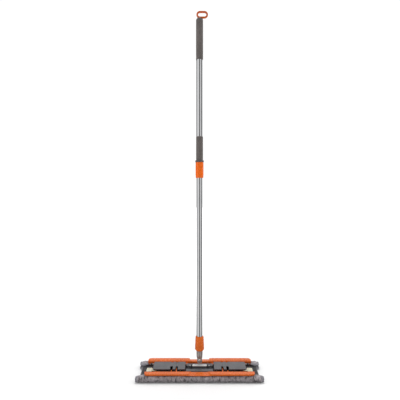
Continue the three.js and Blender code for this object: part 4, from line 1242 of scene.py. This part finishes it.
def mop_cloth():
    """The cloth is one long pad. It lies under the plate, and its long edges fold up round the
    plate's edges and lie on top, under the jaws."""
    node = "mop_cloth"
    low, high = box_mm(node)
    half_length = high.x
    hem_y, tab_hem_y, tab_start, step = 46.0, 33.0, 187.0, 1.25
    flap = BEND_Y - hem_y
    marks = np.cumsum([0, flap, math.pi * BEND_RADIUS, 2 * BEND_Y, math.pi * BEND_RADIUS, flap])
    width = marks[-1]
    s_steps = stations(width, step)
    x_steps = stations(2 * half_length, step) - half_length
    x, s = np.meshgrid(x_steps, s_steps, indexing="ij")

    # The back hem lies further in on the tabs, outside the jaws.
    on_tab = smoothstep(tab_start - 4, tab_start + 3, np.abs(x))
    back_flap = BEND_Y - lerp(hem_y, tab_hem_y, on_tab) + 0.9 * ripple(x / 17, SEED + 1)
    front_flap = flap + 0.8 * ripple(x / 19, SEED + 2)
    part, t, y, z, normal_y, normal_z = folded_line(s, marks, front_flap, back_flap)

    to_side_hem = half_length - np.abs(x)
    to_front_hem = np.where(part == 0, front_flap * t, s)
    to_back_hem = np.where(part == 4, back_flap * (1 - t), width - s)
    to_long_hem = np.minimum(to_front_hem, to_back_hem)
    to_hem = np.minimum(to_side_hem, to_long_hem)
    place_x = cloth_outline(x, s, y, half_length, to_long_hem)

    # Past the plate's end nothing holds the folds apart, so they sink towards the sole.
    raised = smoothstep(BEND_Z - 4, BEND_Z + 5, z)
    overhang = smoothstep(box_mm("base_plate")[1].x - 2, half_length - 4, np.abs(x))
    z = z - raised * 2.4 * overhang * (1 + 0.5 * ripple(s / 6, SEED + 5))
    bulge = np.abs(normal_y) * (0.9 * ripple(x / 11, SEED + 6) + 0.5 * ripple(x / 4.5, SEED + 7))
    y = y + np.sign(y) * bulge

    tufts, tint = tuft_field(x_steps, s_steps, SEED + 8)
    outside, inside, bound = cloth_thickness(x, y, normal_z, part, to_hem, tufts)
    outer = np.stack([place_x, y + normal_y * outside, z + normal_z * outside], axis=-1)
    inner = np.stack([place_x, y - normal_y * inside, z - normal_z * inside], axis=-1)
    outer[..., 2] = np.maximum(outer[..., 2], low.z + 0.12)
    cloth = double_sheet(name_for(node), outer, inner)
    for key, value, inner_value in (("pile", tufts, 0.9), ("tint", tint, 0.4), ("hem", bound, 1.0)):
        layer = cloth.data.attributes.new(key, "FLOAT", "POINT")
        both = np.concatenate([value.ravel(), np.full(value.size, inner_value)])
        layer.data.foreach_set("value", both.astype(np.float32))
    stand_for(cloth, node)
    stitches = stitching(outer, to_side_hem, to_long_hem)


def double_sheet(name, outer, inner):
    """A closed sheet from two grids of points, joined round their border."""
    rows, columns = outer.shape[:2]
    index = np.arange(rows * columns).reshape(rows, columns)
    shift = rows * columns
    quads = np.stack([index[:-1, :-1], index[1:, :-1], index[1:, 1:], index[:-1, 1:]], axis=-1).reshape(-1, 4)
    border = np.concatenate([index[:-1, 0], index[-1, :-1], index[:0:-1, -1], index[0, :0:-1]])
    ahead = np.roll(border, -1)
    rim = np.stack([border, ahead, ahead + shift, border + shift], axis=-1)
    faces = np.concatenate([quads, quads[:, ::-1] + shift, rim]).tolist()
    vertices = np.concatenate([outer.reshape(-1, 3), inner.reshape(-1, 3)])
    return make_object(name, vertices, faces, crease=70)


def stitching(outer, to_side_hem, to_long_hem):
    """Short stitches of thread along the inside of the hem, sunk in its seam."""
    line = HEM_WIDTH
    section = circle(0.38, 6)
    vertices, faces = [], []
    rows, columns = outer.shape[:2]
    row, column = rows // 2, columns // 2
    end_row = int(np.argmin(np.abs(to_side_hem[:row, column] - line)))
    front_column = int(np.argmin(np.abs(to_long_hem[row, :column] - line)))
    back_column = columns - 1 - int(np.argmin(np.abs(to_long_hem[row, column:][::-1] - line)))
    tracks = []
    for row in (end_row, rows - 1 - end_row):
        tracks.append([outer[row, c] for c in range(columns) if to_long_hem[row, c] > line])
    for column in (front_column, back_column):
        tracks.append([outer[r, column] for r in range(rows) if to_side_hem[r, column] > line])
    for track in tracks:
        for start in range(0, len(track) - 2, 3):
            a, b = Vector(track[start]), Vector(track[start + 2])
            along = (b - a).normalized()
            side = along.orthogonal().normalized()
            other = along.cross(side)
            first = len(vertices)
            for share, size in ((-0.06, 0.35), (0.08, 1.0), (0.92, 1.0), (1.06, 0.35)):
                centre = a.lerp(b, share)
                vertices += [tuple(centre + side * p * size + other * q * size) for p, q in section]
            count = len(section)
            for ring in range(3):
                for i in range(count):
                    j = (i + 1) % count
                    base = first + ring * count
                    faces.append((base + i, base + j, base + count + j, base + count + i))
            faces.append(tuple(range(first, first + count)))
            faces.append(tuple(range(first + 3 * count, first + 4 * count)))
    made = make_object("hem_stitching", vertices, faces, crease=60)
    finish_of(made, "fabric", THREAD)
    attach(made, BODY_OF["mop_cloth"])
    return made


# ---------- Assembly ----------

pole_tubes()
pole_socket()
lock_nut()
lock_body()
grips()
grip_cap()
hang_loop()
swivel_fork()
fork_rivet()
joint_tee()
rods()
centre_hub()
hinge_cradle()
stop_block("right_stop_block", Matrix.Identity(4))
stop_block("left_stop_block", HALF_TURN)
base_plate()
jaw("back_jaw", Matrix.Identity(4), BACK_ARM_TOP)
jaw("front_jaw", HALF_TURN, FRONT_ARM_TOP)
pedal("right_pedal", Matrix.Identity(4))
pedal("left_pedal", MIRROR)
for side in ("left", "right"):
    for place in ("inner", "outer"):
        spring(f"{side}_{place}_spring")
mop_cloth()

# Small and hidden CAD parts keep their shape and get their finish.
for node, obj in frame["nodes"].items():
    if not obj.hide_render:
        finish_of(obj, SLOT_OF[node])


# ---------- Studio ----------

# Brightness of the walls round the studio, by their bearing in degrees from the front to the right.
DARK_WALL, LIT_WALL, FAR_WALL = 0.11, 0.84, 0.62
WALLS = [
    (-180, FAR_WALL), (-150, FAR_WALL), (-146, DARK_WALL), (-98, DARK_WALL), (-94, LIT_WALL), (-20, LIT_WALL),
    (-16, DARK_WALL), (15, DARK_WALL), (19, LIT_WALL), (50, LIT_WALL), (54, DARK_WALL), (88, DARK_WALL),
    (92, LIT_WALL), (150, LIT_WALL), (180, FAR_WALL),
]
OVERHEAD = (0.85, 0.85, 0.85, 1)
SEEN_BACKDROP = (1.05, 1.05, 1.05, 1)
FLOOR_GLOW = 0.07  # of the floor under the object, seen by the camera


def studio_world():
    """White surroundings for the camera. Glossy parts see bright walls with dark panels between them."""
    world = bpy.data.worlds.new("studio")
    world.use_nodes = True
    bpy.context.scene.world = world
    sky = Nodes(world.node_tree)
    direction = sky.node("ShaderNodeTexCoord").outputs["Generated"]
    front = sky.math("MULTIPLY", sky.part_of(direction, "Y"), -1.0)
    bearing = sky.math("ARCTAN2", sky.part_of(direction, "X"), front)
    stops = [((degrees + 180) / 360, (level, level, level, 1)) for degrees, level in WALLS]
    walls = sky.ramp(sky.span(bearing, -math.pi, math.pi, 0.0, 1.0), *stops)
    raised = sky.span(sky.part_of(direction, "Z"), 0.46, 0.60, 0.0, 1.0)
    reflected = sky.mix(raised, walls, OVERHEAD)
    is_seen = sky.node("ShaderNodeLightPath").outputs["Is Camera Ray"]
    background = sky.tree.nodes["Background"]
    sky.put(background.inputs["Color"], sky.mix(is_seen, reflected, SEEN_BACKDROP))


def studio_floor():
    """A pale floor that brightens to the white of the surroundings away from the object."""
    reach = 30.0
    level = cad_box[0].z - 0.0002
    corners = [(-reach, -reach, level), (reach, -reach, level), (reach, reach, level), (-reach, reach, level)]
    mesh = bpy.data.meshes.new("floor")
    mesh.from_pydata(corners, [], [(0, 1, 2, 3)])
    floor = bpy.data.objects.new("floor", mesh)
    bpy.context.scene.collection.objects.link(floor)
    floor.visible_glossy = False
    look = Look("floor", Roughness=0.6, Specular_IOR_Level=0.2)
    pale, paler = (0.80, 0.80, 0.80, 1), (0.82, 0.82, 0.82, 1)
    look.wear("Base Color", look.ramp(look.noise(1.2, 2.0), (0.3, pale), (0.7, paler)))
    away = look.node("ShaderNodeVectorMath", operation="LENGTH")
    look.put(away.inputs[0], look.place)
    glow = look.span(away.outputs["Value"], 0.35, 1.6, FLOOR_GLOW, 1.0)
    only_seen = look.math("MULTIPLY", glow, look.node("ShaderNodeLightPath").outputs["Is Camera Ray"])
    look.shader.inputs["Emission Color"].default_value = (1, 1, 1, 1)
    look.wear("Emission Strength", only_seen)
    mesh.materials.append(look.material)


def softbox(name, place, target, size, power):
    """A square light that isn't seen in glossy parts."""
    light = bpy.data.lights.new(name, "AREA")
    light.shape = "SQUARE"
    light.size = size
    light.energy = power
    obj = bpy.data.objects.new(name, light)
    obj.visible_glossy = False
    obj.location = place
    obj.rotation_euler = (Vector(target) - Vector(place)).to_track_quat("-Z", "Y").to_euler()
    bpy.context.scene.collection.objects.link(obj)


def camera():
    """Level, square to the front, at the distance and height that the photograph's perspective gives."""
    data = bpy.data.cameras.new("camera")
    data.lens = 35.06
    data.sensor_width = 36.0
    obj = bpy.data.objects.new("camera", data)
    obj.location = (0.0015, -1.340, 0.5986)
    obj.rotation_euler = (math.pi / 2, 0, 0)
    bpy.context.scene.collection.objects.link(obj)
    bpy.context.scene.camera = obj


studio_world()
studio_floor()
softbox("left", (-2.2, -0.5, 1.3), (0, 0, 0.5), 1.4, 9)
softbox("right", (2.2, 0.1, 1.3), (0, 0, 0.5), 1.4, 12)
softbox("top", (0.0, 0.9, 2.6), (0, 0, 0), 1.6, 28)
camera()
bpy.context.scene.view_settings.view_transform = "Standard"
